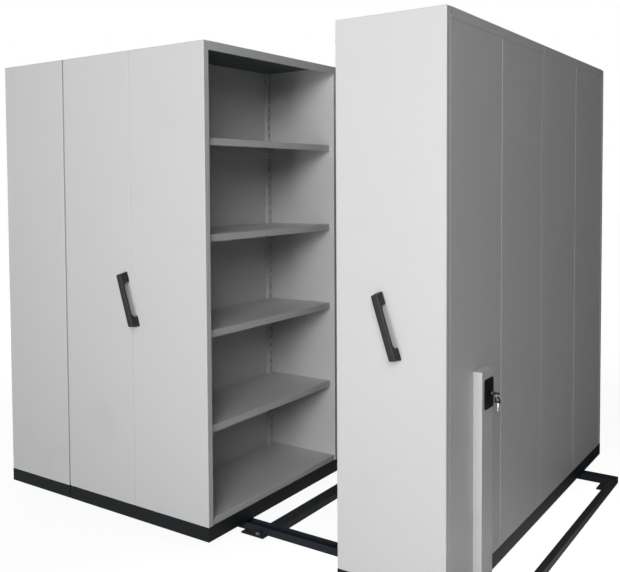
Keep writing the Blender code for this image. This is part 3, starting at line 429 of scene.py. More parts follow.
@dataclass(frozen=True)
class BrushedSteel(Finish):
    """Bright steel with a grain along one direction."""

    colour: Colour = (0.63, 0.63, 0.61)
    dull: Colour = (0.40, 0.40, 0.39)
    roughness: float = 0.24
    grain: Point = (900.0, 60.0, 900.0)
    line_share: float = 0.35
    line_dull: float = 0.12
    stains_per_metre: float = 45.0
    stain_span: Span = (0.50, 0.85)
    stain_share: float = 0.45
    stain_dull: float = 0.18

    def paint(self, sheet: ShaderSheet) -> None:
        """Noise drawn out along the grain changes the colour, the gloss and the bump.

        Args:
            sheet: The material's empty sheet.
        """
        point = sheet.place()
        lines = sheet.noise(sheet.stretched(point, self.grain), detail=3.0)
        blots = sheet.noise(point, self.stains_per_metre, detail=5.0)
        stain = sheet.ramp(blots, self.stain_span)
        dulled = lines * self.line_share + stain * self.stain_share
        sheet.surface(
            Base_Color=sheet.mix(dulled, self.colour, self.dull),
            Metallic=1.0,
            Roughness=lines * self.line_dull + stain * self.stain_dull + self.roughness,
            Normal=sheet.bump(lines, strength=0.06, distance=0.0003),
        )


@dataclass(frozen=True)
class TurnedSteel(Finish):
    """Steel turned on a lathe about an axis along Y, with tool marks in rings."""

    centre: Point = (0.0, 0.0, 0.0)
    colour: Colour = (0.34, 0.34, 0.35)
    greasy: Colour = (0.10, 0.095, 0.085)
    roughness: float = 0.32
    rings_per_metre: float = 900.0
    ring_dull: float = 0.10
    hub_span: Span = (0.012, 0.030)
    grease_per_metre: float = 120.0
    grease_span: Span = (0.35, 0.65)
    grease_dull: float = 0.25

    def paint(self, sheet: ShaderSheet) -> None:
        """The distance from the wheel's axis makes the rings, and old grease lies near the hub.

        Args:
            sheet: The material's empty sheet.
        """
        point = sheet.place()
        across, _, up = sheet.parts(sheet.stretched(point, (1, 1, 1), self.centre))
        radius = (across * across + up * up) ** 0.5
        wave = sheet.math("SINE", radius * (self.rings_per_metre * math.tau))
        rings = wave * 0.5 + 0.5
        hub = 1 - sheet.ramp(radius, self.hub_span)
        smears = sheet.noise(point, self.grease_per_metre, detail=4.0)
        grease = hub * sheet.ramp(smears, self.grease_span)
        sheet.surface(
            Base_Color=sheet.mix(grease, self.colour, self.greasy),
            Metallic=1.0,
            Roughness=rings * self.ring_dull + grease * self.grease_dull + self.roughness,
            Normal=sheet.bump(rings, strength=0.10, distance=0.0003),
        )


ENAMEL = GreyEnamel("grey_stove_enamel")
BLACK = BlackEnamel("black_satin_enamel")
TRACK_BLACK = BlackEnamel("track_black", colour=(0.0210, 0.0255, 0.0310))
PLASTIC = MouldedPlastic("dark_moulded_plastic")
KEY_PLASTIC = MouldedPlastic("key_bow_plastic", colour=(0.020, 0.018, 0.020), roughness=0.42)
LOCK_BLACK = GlossBlack("lock_plate_black")
STEEL = BrushedSteel("bright_steel")
ZINC = BrushedSteel(
    "zinc_plate", colour=(0.30, 0.30, 0.29), roughness=0.46, grain=(300.0, 300.0, 300.0)
)
BLADE_STEEL = BrushedSteel(
    "key_blade_steel", colour=(0.80, 0.80, 0.78), grain=(80.0, 900.0, 900.0)
)
SLOT_FINISHES: dict[str, Finish] = {
    "grey_enamel": ENAMEL,
    "black_enamel": BLACK,
    "dark_plastic": PLASTIC,
    "lock_black": LOCK_BLACK,
    "bright_steel": STEEL,
    "wheel_steel": TurnedSteel("turned_steel"),
    "key_plastic": KEY_PLASTIC,
}


# Surfaces


@dataclass
class Surface:
    """Points and faces of one mesh, marked from 0 to 1 at edges for painted highlight and wear."""

    points: np.ndarray
    faces: list[tuple[int, ...]]
    edge: np.ndarray

    @classmethod
    def join(cls, *surfaces: "Surface") -> "Surface":
        """Puts several separate surfaces together.

        Args:
            *surfaces: The surfaces.

        Returns:
            One surface of them all.
        """
        counts = np.cumsum([0] + [len(surface.points) for surface in surfaces])
        faces = [
            tuple(int(index) + int(start) for index in face)
            for surface, start in zip(surfaces, counts)
            for face in surface.faces
        ]
        points = np.concatenate([surface.points for surface in surfaces])
        return cls(points, faces, np.concatenate([surface.edge for surface in surfaces]))

    def moved(self, rows: np.ndarray, origin: Point) -> "Surface":
        """The surface with its three axes laid along the rows and its zero at the origin."""
        return Surface(self.points @ rows + np.array(origin), self.faces, self.edge)


def grid(
    points: np.ndarray, wrap_u: bool, wrap_v: bool, edge: np.ndarray | None = None
) -> Surface:
    """Quads over a grid of points.

    Args:
        points: An array of shape (u, v, 3).
        wrap_u: Whether the last row joins the first.
        wrap_v: Whether the last column joins the first.
        edge: Each point's mark for the painted edge highlight and wear, or none.

    Returns:
        The surface.
    """
    rows, columns = points.shape[:2]
    index = np.arange(rows * columns).reshape(rows, columns)
    if wrap_u:
        index = np.concatenate([index, index[:1]], axis=0)
    if wrap_v:
        index = np.concatenate([index, index[:, :1]], axis=1)
    corners = (index[:-1, :-1], index[1:, :-1], index[1:, 1:], index[:-1, 1:])
    quads = np.stack([corner.ravel() for corner in corners], axis=1)
    marks = np.zeros(rows * columns) if edge is None else edge.ravel()
    return Surface(points.reshape(-1, 3), [tuple(quad) for quad in quads.tolist()], marks)


def revolved(profile: np.ndarray, axis: Axis, origin: Point, steps: int, closed: bool) -> Surface:
    """A profile of (radius, distance along the axis) turned once round the axis.

    Each point is origin + along * axis + radius * (cos a * first + sin a * second).

    Args:
        profile: An array of shape (n, 2).
        axis: The axis that it turns about.
        origin: A point on that axis.
        steps: How many steps make the turn.
        closed: Whether the profile's last point joins its first.

    Returns:
        The surface.
    """
    along, first, second = axis.frame
    angle = np.linspace(0, math.tau, steps, endpoint=False)
    spokes = np.cos(angle)[:, None] * first + np.sin(angle)[:, None] * second
    radius, distance = profile[:, 0], profile[:, 1]
    points = radius[None, :, None] * spokes[:, None, :] + (distance[:, None] * along)[None]
    return grid(points + np.array(origin), True, closed)


def mirrored(half: Corners) -> Corners:
    """Half an outline, followed by its mirror image across v = 0 from end to start."""
    return half + [(u, -v, *rest) for u, v, *rest in reversed(half)]


def rounded_outline(corners: Corners, steps: int) -> np.ndarray:
    """A closed outline whose corners are arcs.

    At each corner the arc touches both sides at radius / tan(half the inner angle) from it.

    Args:
        corners: The corners in order, each as u, v and the radius of its arc.
        steps: How many steps make each arc.

    Returns:
        The points, as an array of shape (n, 2).
    """
    table = np.array(corners, float)
    spot, radius = table[:, :2], table[:, 2:]
    back = np.roll(spot, 1, axis=0) - spot
    ahead = np.roll(spot, -1, axis=0) - spot
    back /= np.linalg.norm(back, axis=1, keepdims=True)
    ahead /= np.linalg.norm(ahead, axis=1, keepdims=True)
    half = np.arccos(np.clip((back * ahead).sum(1, keepdims=True), -1, 1)) / 2
    middle = back + ahead
    middle /= np.linalg.norm(middle, axis=1, keepdims=True)
    centre = spot + middle * radius / np.sin(half)
    start = spot + back * radius / np.tan(half) - centre
    stop = spot + ahead * radius / np.tan(half) - centre
    share = np.linspace(0, 1, steps + 1)[None, :, None]
    turn = math.pi - 2 * half[:, :, None]
    leaving = np.sin((1 - share) * turn) * start[:, None]
    coming = np.sin(share * turn) * stop[:, None]
    arc = (leaving + coming) / np.sin(turn)
    return (centre[:, None] + arc).reshape(-1, 2)


def slab(outline: np.ndarray, thickness: float, fillet: float, steps: int) -> Surface:
    """A flat piece with rounded edges, centred on its thickness.

    Each ring is the outline moved inwards by fillet * (1 - cos a) at the height
    half thickness - fillet * (1 - sin a), and the two ends are closed by flat faces.

    Args:
        outline: A closed outline that runs anticlockwise, of shape (n, 2).
        thickness: The piece's thickness along the third axis.
        fillet: The radius of its edges.
        steps: How many steps make each rounded edge.

    Returns:
        The surface, with its rounded edges marked.
    """
    ahead = np.roll(outline, -1, axis=0) - np.roll(outline, 1, axis=0)
    ahead /= np.linalg.norm(ahead, axis=1, keepdims=True)
    inward = np.stack([-ahead[:, 1], ahead[:, 0]], axis=1)
    angle = np.linspace(0, math.pi / 2, steps + 1)
    inset = fillet * (1 - np.cos(angle))
    height = thickness / 2 - fillet * (1 - np.sin(angle))
    inset = np.concatenate([inset[::-1], inset])
    height = np.concatenate([-height[::-1], height])
    flat = outline[None] + inset[:, None, None] * inward[None]
    levels = np.broadcast_to(height[:, None, None], flat.shape[:2] + (1,))
    points = np.concatenate([flat, levels], axis=2)
    # Edge mark for the painted highlight and wear, strongest mid-fillet.
    highlit_and_worn = np.concatenate([np.sin(2 * angle)[::-1], np.sin(2 * angle)])
    marks = np.broadcast_to(highlit_and_worn[:, None], flat.shape[:2])
    body = grid(points, False, True, marks)
    count = len(outline)
    last = (len(inset) - 1) * count
    bottom = tuple(range(count))
    top = tuple(range(last + count - 1, last - 1, -1))
    return Surface(body.points, body.faces + [bottom, top], body.edge)


def build_piece(
    name: str,
    surface: Surface,
    finish: Finish,
    body: str,
    replaces: tuple[str, ...] = (),
    sharp_degrees: float = SHARP_DEGREES,
) -> bpy.types.Object:
    """Makes a piece of the object from a surface.

    Args:
        name: The piece's name.
        surface: Its shape, in the shared frame.
        finish: Its finish.
        body: The moving body that carries it.
        replaces: The plain solids that it stands for.
        sharp_degrees: The angle between two faces from which their edge is shaded sharp.

    Returns:
        The object.
    """
    mesh = bpy.data.meshes.new(name)
    mesh.from_pydata(surface.points.tolist(), [], surface.faces)
    marks = mesh.attributes.new("edge", "FLOAT", "POINT")
    marks.data.foreach_set("value", surface.edge.astype(np.float32))
    merge_and_point_out(mesh)
    mesh.shade_smooth()
    mesh.set_sharp_from_angle(angle=math.radians(sharp_degrees))
    mesh.materials.append(finish.material())
    piece = bpy.data.objects.new(name, mesh)
    bpy.context.scene.collection.objects.link(piece)
    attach(piece, body)
    if replaces:
        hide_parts(*replaces)
    LOG.info("%s: %d faces, rides on %s", name, len(mesh.polygons), body)
    return piece


def merge_and_point_out(mesh: bpy.types.Mesh) -> None:
    """Merges doubled points and turns every face outwards.

    Args:
        mesh: The mesh, which is changed.
    """
    shell = bmesh.new()
    shell.from_mesh(mesh)
    bmesh.ops.remove_doubles(shell, verts=shell.verts, dist=MERGE_DISTANCE)
    bmesh.ops.recalc_face_normals(shell, faces=shell.faces)
    shell.to_mesh(mesh)
    shell.free()


def box_of(node: str) -> tuple[np.ndarray, np.ndarray]:
    """The lowest and highest corner of a solid at rest."""
    low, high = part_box(node)
    return np.array(low), np.array(high)


# Sub-assemblies


@dataclass
class PaintedSolids:
    """The solids that stay as they are and take their slot's finish."""

    finishes: dict[str, Finish] = field(default_factory=lambda: dict(SLOT_FINISHES))
    track_words: tuple[str, ...] = ("_rail_", "crossbar")

    def dress(self) -> None:
        """Gives every solid the finish of its material slot, and the track its own black."""
        for part in frame["record"]["subparts"]:
            solid = frame["nodes"][part["node"]]
            finish = self.finishes[part["material_slot"]]
            if any(word in part["node"] for word in self.track_words):
                finish = TRACK_BLACK
            solid.data.materials.clear()
            solid.data.materials.append(finish.material())
            LOG.info("%s: painted with %s", part["node"], finish.name)


@dataclass
class BackPanel:
    """A back of two folded sheets with a seam between them, brought out flush with its frame."""

    node: str
    body: str
    outward: int
    brought_out: float = 0.0025
    fold: float = 0.0025
    seam: float = 0.0020
    seam_depth: float = 0.0080
    sheet: float = 0.0012
    post: float = 0.0280
    corner: float = 0.0004
    arc_steps: int = 4

    def section(self, half: float, deep: float) -> np.ndarray:
        """The view from above: inwards from the outer face along u, along the back on v.

        Args:
            half: Half the back's length.
            deep: How far it reaches inwards.

        Returns:
            The closed outline.
        """
        gap = self.seam / 2
        bend = gap + self.sheet
        inner = half - self.post
        corner, fold = self.corner, self.fold
        lower = [
            (self.seam_depth, -gap, corner),
            (0, -gap, fold),
            (0, -half, fold),
            (deep, -half, corner),
            (deep, -inner, corner),
            (self.sheet, -inner, corner),
            (self.sheet, -bend, corner),
            (self.seam_depth + self.sheet, -bend, corner),
        ]
        return rounded_outline(mirrored(lower), self.arc_steps)

    def build(self) -> None:
        """Draws the section up over the height of the plain back."""
        low, high = box_of(self.node)
        middle = (low + high) / 2
        size = high - low
        face = high[0] if self.outward > 0 else low[0]
        rows = np.diag([-self.outward, 1.0, 1.0])
        section = self.section(size[1] / 2, size[0] + self.brought_out)
        shape = slab(section, size[2], self.corner / 2, 1)
        origin = (face + self.outward * self.brought_out, middle[1], middle[2])
        build_piece(
            f"{self.node}_sheets",
            shape.moved(rows, origin),
            ENAMEL,
            self.body,
            (self.node,),
            FOLD_SHARP_DEGREES,
        )


@dataclass
class EndPanel:
    """A folded end panel that stops a little short of the next unit, so that their gap shows."""

    node: str
    body: str
    short: float = 0.0050
    sheet: float = 0.0012
    flange: float = 0.0240
    fold: float = 0.0030
    corner: float = 0.0002
    arc_steps: int = 5

    def section(self, half: float, deep: float) -> np.ndarray:
        """The view from above: inwards from the outer face along u, across the panel on v.

        Args:
            half: Half the panel's width.
            deep: The depth of its folded sides.

        Returns:
            The closed outline.
        """
        wall, corner = self.sheet, self.corner
        lip, inner = self.flange - half, wall - half
        lower = [
            (0, -half, self.fold),
            (deep, -half, corner),
            (deep, lip, corner),
            (deep - wall, lip, corner),
            (deep - wall, inner, corner),
            (wall, inner, self.fold - wall),
        ]
        return rounded_outline(mirrored(lower), self.arc_steps)

    def build(self) -> None:
        """Draws the section up, and closes its foot and its top with a plate."""
        low, high = box_of(self.node)
        width, deep, height = high - low - (self.short, 0, 0)
        half, edge, wall = width / 2, self.corner / 2, self.sheet
        skin = slab(self.section(half, deep), height, edge, 1)
        lower = [(wall, wall - half, self.fold - wall), (deep - wall, wall - half, self.corner)]
        plate = slab(rounded_outline(mirrored(lower), self.arc_steps), wall, edge, 1)
        rows = np.array([[0, 1.0, 0], [1.0, 0, 0], [0, 0, 1.0]])
        pieces = [
            shape.moved(rows, (low[0] + half, low[1], level))
            for shape, level in (
                (skin, (low[2] + high[2]) / 2),
                (plate, low[2] + wall / 2),
                (plate, high[2] - wall / 2),
            )
        ]
        build_piece(
            f"{self.node}_sheet",
            Surface.join(*pieces),
            ENAMEL,
            self.body,
            (self.node,),
            FOLD_SHARP_DEGREES,
        )


@dataclass
class PullHandle:
    """A bow handle moulded in one piece, on two wide feet."""

    node: str
    body: str
    lean: float = math.radians(17.5)
    length: float = 0.240
    width: float = 0.025
    bar: float = 0.015
    foot: float = 0.045
    slope: float = 0.012
    end_slope: float = 0.0075
    foot_radius: float = 0.0035
    end_radius: float = 0.006
    throat_radius: float = 0.008
    grip_radius: float = 0.012
    fillet: float = 0.0034
    arc_steps: int = 6
    fillet_steps: int = 5

    def outline(self, reach: float) -> np.ndarray:
        """The side view: out from the panel along u, up the handle along v.

        Args:
            reach: How far the handle stands out.

        Returns:
            The closed outline.
        """
        half = self.length / 2
        under = reach - self.bar
        foot = self.foot - half
        lower = [
            (under, foot + self.slope, self.grip_radius),
            (under - self.slope, foot, self.throat_radius),
            (0, foot, self.foot_radius),
            (0, -half, self.foot_radius),
            (reach, self.end_slope - half, self.end_radius),
        ]
        return rounded_outline(mirrored(lower), self.arc_steps)

    def build(self) -> None:
        """Stands the side view on the panel, leaning to the left at its top."""
        low, high = box_of(self.node)
        centre = (low + high) / 2
        out = np.array([0.0, -1.0, 0.0])
        up = np.array([-math.sin(self.lean), 0.0, math.cos(self.lean)])
        rows = np.stack([out, up, np.cross(out, up)])
        reach = high[1] - low[1]
        shape = slab(self.outline(reach), self.width, self.fillet, self.fillet_steps)
        origin = (centre[0], high[1], centre[2])
        build_piece(
            f"{self.node}_moulding",
            shape.moved(rows, origin),
            PLASTIC,
            self.body,
            (self.node,),
        )


@dataclass
class WheelSet:
    """A turned axle with its two dished wheels."""

    side: str
    steps: int = 72
    rim: float = 0.009
    hub: float = 0.017
    hub_inset: float = 0.004
    web: float = 0.009
    web_fillet: float = 0.003
    edge: float = 0.002
    bore_edge: float = 0.0008
    bore_play: float = 0.0002
    chamfer: float = 0.0015
    arc_steps: int = 4

    def wheel_profile(self, radius: float, bore: float, half: float) -> np.ndarray:
        """The section of a wheel, from its bore round by the tread and back.

        Args:
            radius: The tread's radius.
            bore: The bore's radius.
            half: Half the tread's width.

        Returns:
            The closed outline, as radius and distance along the axle.
        """
        inner = radius - self.rim
        web = self.web / 2
        hub = half - self.hub_inset
        fillet = self.web_fillet
        lower = [
            (bore, -hub, self.bore_edge),
            (self.hub, -hub, self.edge),
            (self.hub + fillet, -web, fillet),
            (inner - fillet, -web, fillet),
            (inner, -half, self.edge / 2),
            (radius, -half, self.edge),
        ]
        return rounded_outline(mirrored(lower), self.arc_steps)

    def build(self) -> None:
        """Turns the axle and both wheels about the axle's line."""
        node = f"{self.side}_axle"
        body = f"{self.side}_wheelset"
        low, high = box_of(node)
        centre = (low + high) / 2
        axle, half, _ = (high - low) / 2
        lower = [(0, -half), (axle - self.chamfer, -half), (axle, self.chamfer - half)]
        shaft = revolved(np.array(mirrored(lower)), Axis.Y, tuple(centre), self.steps, False)
        build_piece(f"{node}_shaft", shaft, STEEL, body, (node,))
        for end in ("front", "rear"):
            node = f"{self.side}_{end}_wheel"
            low, high = box_of(node)
            middle = (low + high) / 2
            radius = (high[0] - low[0]) / 2
            bore = axle + self.bore_play
            section = self.wheel_profile(radius, bore, (high[1] - low[1]) / 2)
            disc = revolved(section, Axis.Y, tuple(middle), self.steps, True)
            finish = TurnedSteel(f"turned_steel_{node}", tuple(middle))
            build_piece(f"{node}_disc", disc, finish, body, (node,))


@dataclass
class LevellingBolt:
    """A zinc-plated bolt with its washer, in a foot beside a rail's joint."""

    rail: str
    outward: int
    inset: float = 0.0363
    from_edge: float = 0.020
    foot: float = 0.006
    washer: float = 0.0120
    washer_thickness: float = 0.0016
    washer_edge: float = 0.0004
    washer_steps: int = 48
    head: float = 0.0105
    height: float = 0.0075
    flats: int = 6
    flat_share: float = 0.82
    crown_share: float = 0.9

    def build(self) -> None:
        """Turns the washer, then six flats with a domed top for the head."""
        low, high = box_of(self.rail)
        edge = low[1] if self.outward < 0 else high[1]
        spot = (high[0] - self.inset, edge - self.outward * self.from_edge, self.foot)
        rim, thick, soft = self.washer, self.washer_thickness, self.washer_edge
        flat = np.array([(0, 0), (rim, 0), (rim, thick - soft), (rim - soft, thick), (0, thick)])
        washer = revolved(flat, Axis.Z, spot, self.washer_steps, False)
        dome = np.array(
            [
                (0, thick),
                (self.head, thick),
                (self.head, thick + self.height * self.flat_share),
                (self.head * self.crown_share, thick + self.height),
                (0, thick + self.height),
            ]
        )
        head = revolved(dome, Axis.Z, spot, self.flats, False)
        shape = Surface.join(washer, head)
        build_piece(f"{self.rail}_bolt", shape, ZINC, "track", ())


@dataclass
class HeaderScrews:
    """Dark screws sunk in the holes near both ends of a header."""

    top: str
    body: str
    outward: int
    inset: float = 0.009
    drop: float = 0.018
    radius: float = 0.0050
    edge: float = 0.0010
    edge_drop: float = 0.0008
    sunk: float = 0.0012
    depth: float = 0.0040
    socket_share: float = 0.45
    socket_depth_share: float = 0.8
    steps: int = 24

    def build(self) -> None:
        """Turns a domed head with a hollow socket for each hole."""
        low, high = box_of(self.top)
        face = high[0] if self.outward > 0 else low[0]
        socket = self.radius * self.socket_share
        floor = -self.depth * self.socket_depth_share
        section = np.array(
            [
                (0, -self.depth),
                (self.radius, -self.depth),
                (self.radius, -self.sunk - self.edge_drop),
                (self.radius - self.edge, -self.sunk),
                (socket, -self.sunk),
                (socket, floor),
                (0, floor),
            ]
        )
        section[:, 1] *= self.outward
        height = high[2] - self.drop
        heads = [
            revolved(section, Axis.X, (face, place, height), self.steps, False)
            for place in (low[1] + self.inset, high[1] - self.inset)
        ]
        shape = Surface.join(*heads)
        build_piece(f"{self.top}_screws", shape, LOCK_BLACK, self.body, ())


@dataclass
class LockCollar:
    """The black collar round the lock's steel plug."""

    bore: float = 0.0066
    rim: float = 0.0130
    depth: float = 0.0034
    proud: float = 0.0007
    back_radius: float = 0.0002
    rim_radius: float = 0.0022
    bore_radius: float = 0.0005
    arc_steps: int = 6
    steps: int = 64

    def build(self) -> None:
        """Turns a rounded section about the barrel's axis, just over the barrel's own flange."""
        face = box_of("lock_cylinder")[1][0]
        key_low, key_high = box_of("key")
        middle = (key_low + key_high) / 2
        section = rounded_outline(
            [
                (self.bore, -self.depth, self.back_radius),
                (self.rim, -self.depth, self.back_radius),
                (self.rim, self.proud, self.rim_radius),
                (self.bore, self.proud, self.bore_radius),
            ],
            self.arc_steps,
        )
        ring = revolved(section, Axis.X, (face, middle[1], middle[2]), self.steps, True)
        build_piece("lock_collar", ring, LOCK_BLACK, "lock_barrel", ())


@dataclass
class Keys:
    """The key that lies flat in the lock, and the second key that hangs from it on a ring."""

    bow: float = 0.0110
    shoulder: float = 0.0115
    eye: float = 0.0056
    bow_thickness: float = 0.0036
    bow_edge: float = 0.0013
    eye_edge: float = 0.0009
    edge_steps: int = 5
    blade_width: float = 0.0080
    tip_width: float = 0.0038
    blade_thickness: float = 0.0020
    blade_edge: float = 0.0003
    blade_steps: int = 40
    neck: float = 0.0070
    blade_length: float = 0.0220
    cut_start: float = 0.36
    cut_depth: float = 0.0012
    cut_turn: float = 35.0
    ring: float = 0.0115
    wire: float = 0.0006
    wire_steps: int = 10
    plain_wire: float = 0.0009
    steps: int = 96

    @property
    def tip(self) -> float:
        """The distance from the eye to the blade's tip."""
        return self.shoulder + self.neck + self.blade_length

    def bow_shape(self) -> Surface:
        """An arched bow about its eye, with the outer end along u and the flat shoulder along -u.

        A rounded section is carried round the eye. Its outer side follows the arch: a half circle,
        then the nearer of the straight side, bow / |sin a|, and the shoulder, shoulder / |cos a|.

        Returns:
            The surface.
        """
        angle = np.linspace(0, math.tau, self.steps, endpoint=False)
        sine = np.maximum(np.abs(np.sin(angle)), NEAR_ZERO)
        cosine = np.maximum(np.abs(np.cos(angle)), NEAR_ZERO)
        straight = np.minimum(self.bow / sine, self.shoulder / cosine)
        reach = np.where(np.cos(angle) >= 0, self.bow, straight)
        width, half = self.bow - self.eye, self.bow_thickness / 2
        lower = [(0, -half, self.eye_edge), (width, -half, self.bow_edge)]
        section = rounded_outline(mirrored(lower), self.edge_steps)
        outer = section[:, 0] > width / 2
        radius = self.eye + section[None, :, 0] + outer[None] * (reach - self.bow)[:, None]
        height = np.broadcast_to(section[None, :, 1], radius.shape)
        turn = angle[:, None]
        points = np.stack([radius * np.cos(turn), radius * np.sin(turn), height], axis=2)
        return grid(points, True, True)

    def blade_shape(self) -> Surface:
        """A tapering blade along -u from inside the shoulder, with waved cuts in its lower edge.

        The half width falls evenly from shoulder to tip. Past a third of the blade the lower edge
        is lifted by half the cut's depth times 1 + sin, over three waves and a half.

        Returns:
            The surface.
        """
        start = (self.shoulder + self.eye) / 2
        share = np.linspace(0, 1, self.blade_steps + 1)
        place = -start - share * (self.tip - start)
        half = self.blade_width / 2 + share * (self.tip_width - self.blade_width) / 2
        wave = 1 + np.sin((share - self.cut_start) * self.cut_turn - math.pi / 2)
        cut = np.where(share > self.cut_start, self.cut_depth / 2 * wave, 0)
        lower = np.stack([place, cut - half], axis=1)[::-1]
        upper = np.stack([place, half], axis=1)[:: self.blade_steps]
        return slab(np.concatenate([lower, upper]), self.blade_thickness, self.blade_edge, 2)

    def ring_shape(self, centre: Point) -> Surface:
        """A split ring about X: a wire carried along two turns of a coil one wire apart.

        The point at the turn a and the angle b of the wire lies at the radius
        ring + wire * cos b, and at wire * (a / tau - 1) * 2 + wire * sin b along X.

        Args:
            centre: The ring's middle.

        Returns:
            The surface.
        """
        turn = np.linspace(0, 2 * math.tau, 2 * self.steps + 1)[:, None]
        around = np.linspace(0, math.tau, self.wire_steps, endpoint=False)[None]
        thick = np.full(turn.shape, self.wire)
        thick[[0, -1]] = 0
        radius = self.ring + thick * np.cos(around)
        along = self.wire * 2 * (turn / math.tau - 1) + thick * np.sin(around)
        points = np.stack([along, radius * np.cos(turn), radius * np.sin(turn)], axis=2)
        return grid(points + np.array(centre), False, True)

    def build(self) -> None:
        """Lays the key in the barrel, and hangs the ring and the second key from its bow."""
        low, high = box_of("key")
        middle = (low + high) / 2
        eye = (high[0] - self.bow, middle[1], middle[2])
        flat = np.eye(3)
        bow = self.bow_shape().moved(flat, eye)
        build_piece("key_bow", bow, KEY_PLASTIC, "lock_barrel", ("key",))
        blade = self.blade_shape().moved(flat, eye)
        build_piece("key_blade", blade, BLADE_STEEL, "lock_barrel", ())
        low, high = box_of("spare_key_on_ring")
        middle = (low + high) / 2
        coil = self.ring_shape((middle[0], middle[1], high[2] - self.ring - self.plain_wire))
        build_piece("key_ring", coil, STEEL, "spare_key", ("spare_key_on_ring",))
        eye = (middle[0], middle[1], low[2] + self.tip)
        hanging = np.array([[0, 0, 1.0], [1.0, 0, 0], [0, 1.0, 0]])
        bow = self.bow_shape().moved(hanging, eye)
        build_piece("spare_key_bow", bow, KEY_PLASTIC, "spare_key", ())
        blade = self.blade_shape().moved(hanging, eye)
        build_piece("spare_key_blade", blade, BLADE_STEEL, "spare_key", ())


# Studio


@dataclass
class PhotoCamera:
    """The camera of the photograph, in the shared frame."""

    image_width: float = 620.0
    image_height: float = 572.0
    centre_column: float = 240.0
    centre_row: float = 220.0
    focal_pixels: float = 823.98
    sensor_width: float = 36.0
    location: Point = (2.0874, -3.5084, 1.4710)
    turn_degrees: Point = (87.48, 0.54, 36.73)

    def build(self) -> None:
        """Adds the camera with the photograph's focal length and off-centre axis."""
        data = bpy.data.cameras.new("photo_camera")
        data.sensor_width = self.sensor_width
        data.lens = self.focal_pixels * self.sensor_width / self.image_width
        data.shift_x = (self.image_width / 2 - self.centre_column) / self.image_width
        data.shift_y = (self.centre_row - self.image_height / 2) / self.image_width
        camera = bpy.data.objects.new("photo_camera", data)
        camera.location = self.location
        camera.rotation_euler = Euler([math.radians(angle) for angle in self.turn_degrees])
        bpy.context.scene.collection.objects.link(camera)
        bpy.context.scene.camera = camera
        LOG.info("camera at %s", self.location)


@dataclass(frozen=True)
class SoftBox:
    """A square soft light that faces a target, and that gloss mirrors only if it has glare."""

    name: str
    location: Point
    target: Point
    size: float
    watts: float
    glare: bool = True

    def build(self) -> None:
        """Adds the light."""
        data = bpy.data.lights.new(self.name, "AREA")
        data.shape = "SQUARE"
        data.size = self.size
        data.energy = self.watts
        lamp = bpy.data.objects.new(self.name, data)
        lamp.location = self.location
        lamp.visible_glossy = self.glare
        way = Vector(self.target) - Vector(self.location)
        lamp.rotation_euler = way.to_track_quat("-Z", "Y").to_euler()
        bpy.context.scene.collection.objects.link(lamp)
        LOG.info("%s at %s", self.name, self.location)


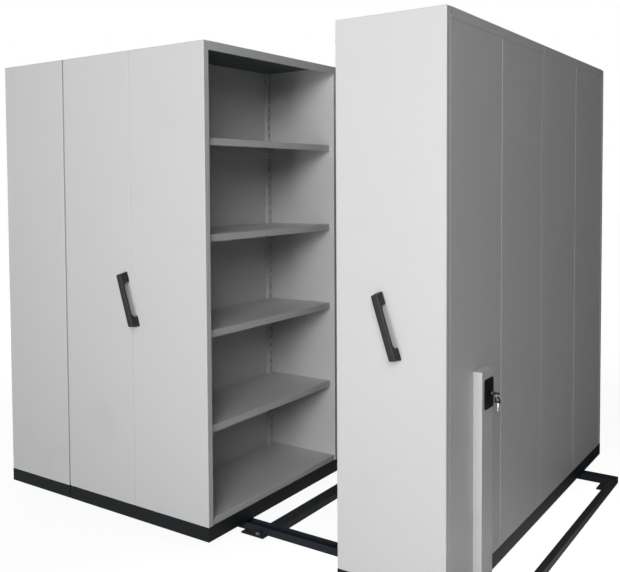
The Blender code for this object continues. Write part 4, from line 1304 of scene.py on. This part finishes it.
@dataclass
class Studio:
    """A white room with a dark corner behind the object's right, and three soft lights.

    The dark corner shows only in gloss, as a black cloth beside the camera's view would.
    """

    floor_half: float = 40.0
    floor_dull: Colour = (0.06, 0.06, 0.06)
    floor_pale: Colour = (0.75, 0.75, 0.75)
    pale_lean: float = 0.5
    pale_span: Span = (0.2, 2.0)
    floor_glow: float = 0.94
    glow_span: Span = (2.0, 5.0)
    ambient: float = 0.030
    shade_tint: Colour = (0.92, 1.0, 0.98)
    corner: tuple[float, float] = (0.75, 0.66)
    corner_depth: float = 0.96
    room_corner: Span = (0.0, 0.5)
    floor_corner: Span = (0.5, 1.5)
    lamps: tuple[SoftBox, ...] = (
        SoftBox("front_softbox", (0.6, -6.6, 1.4), (0.0, 0.0, 0.9), 1.8, 147.0),
        SoftBox("side_softbox", (3.4, -6.6, 4.0), (0.6, -0.4, 0.9), 3.0, 292.0, glare=False),
        SoftBox("back_softbox", (-6.4, 3.0, 2.6), (-0.2, 0.3, 1.0), 3.0, 300.0),
    )

    def seen(self, sheet: ShaderSheet, span: Span, source: str) -> Value:
        """How much of the white room a ray sees.

        It is 1 for the camera and through glass. In gloss it falls towards the dark corner, as the
        point or direction moves along the way to that corner.

        Args:
            sheet: The node tree.
            span: Where on that way it starts to darken, and where it is darkest.
            source: The texture coordinate that gives the point or direction.

        Returns:
            A value from 0 to 1.
        """
        straight, gloss, glass = (
            sheet.node("ShaderNodeLightPath", output=kind)
            for kind in ("Is Camera Ray", "Is Glossy Ray", "Is Transmission Ray")
        )
        across, along, _ = sheet.parts(sheet.node("ShaderNodeTexCoord", output=source))
        dark = sheet.ramp(across * self.corner[0] + along * self.corner[1], span)
        lit = straight + glass + gloss * (1 - dark * self.corner_depth)
        return sheet.math("MINIMUM", lit, 1.0)

    def build_world(self) -> None:
        """A white background that lights the object only weakly."""
        world = bpy.data.worlds.new("white_room")
        bpy.context.scene.world = world
        sheet = ShaderSheet(world)
        seen = self.seen(sheet, self.room_corner, "Generated")
        strength = seen * (1 - self.ambient) + self.ambient
        tint = sheet.mix(seen, self.shade_tint, WHITE)
        light = sheet.node("ShaderNodeBackground", None, {"Color": tint, "Strength": strength})
        sheet.node("ShaderNodeOutputWorld", None, {"Surface": light})

    def paint_floor(self, sheet: ShaderSheet) -> None:
        """Paints a floor that glows for the camera, so that only the object's shadow shows on it.

        What it throws back at the object grows from the left to the front right.

        Args:
            sheet: The floor material's node tree.
        """
        across, along, _ = sheet.parts(sheet.place())
        front_right = sheet.ramp(across - along * self.pale_lean, self.pale_span)
        tone = sheet.mix(front_right, self.floor_dull, self.floor_pale)
        matt = sheet.node("ShaderNodeBsdfDiffuse", None, {"Color": tone})
        far = sheet.ramp((across * across + along * along) ** 0.5, self.glow_span)
        seen = self.seen(sheet, self.floor_corner, "Object")
        strength = seen * (far * (1 - self.floor_glow) + self.floor_glow)
        glow = sheet.node("ShaderNodeEmission", None, {"Color": WHITE, "Strength": strength})
        both = sheet.node("ShaderNodeAddShader", None, {0: matt, 1: glow})
        sheet.node("ShaderNodeOutputMaterial", None, {"Surface": both})

    def build_floor(self) -> None:
        """Lays one wide square under the object."""
        half = self.floor_half
        corners = [(-half, -half, 0), (half, -half, 0), (half, half, 0), (-half, half, 0)]
        mesh = bpy.data.meshes.new("floor")
        mesh.from_pydata(corners, [], [(0, 1, 2, 3)])
        paint = bpy.data.materials.new("pale_floor")
        self.paint_floor(ShaderSheet(paint))
        mesh.materials.append(paint)
        floor = bpy.data.objects.new("floor", mesh)
        bpy.context.scene.collection.objects.link(floor)

    def build(self) -> None:
        """Builds the room, its lights and the picture's colour handling."""
        self.build_world()
        self.build_floor()
        for lamp in self.lamps:
            lamp.build()
        bpy.context.scene.view_settings.view_transform = "Standard"


def main() -> None:
    """Builds every piece in order."""
    logging.basicConfig(level=logging.INFO, format="%(name)s %(message)s")
    PaintedSolids().dress()
    for end in ("front", "rear"):
        BackPanel(f"static_back_panel_{end}", "track", -1).build()
        BackPanel(f"right_back_panel_{end}", "right_carriage", 1).build()
    EndPanel("static_front_panel", "track").build()
    PullHandle("middle_handle", "middle_carriage").build()
    PullHandle("right_handle", "right_carriage").build()
    for side in ("middle_left", "middle_right", "right_left", "right_right"):
        WheelSet(side).build()
    LevellingBolt("front_rail_left", -1).build()
    LevellingBolt("rear_rail_left", 1).build()
    HeaderScrews("static_top", "track", -1).build()
    HeaderScrews("right_top", "right_carriage", 1).build()
    LockCollar().build()
    Keys().build()
    Studio().build()
    PhotoCamera().build()


if __name__ == "__main__":
    main()
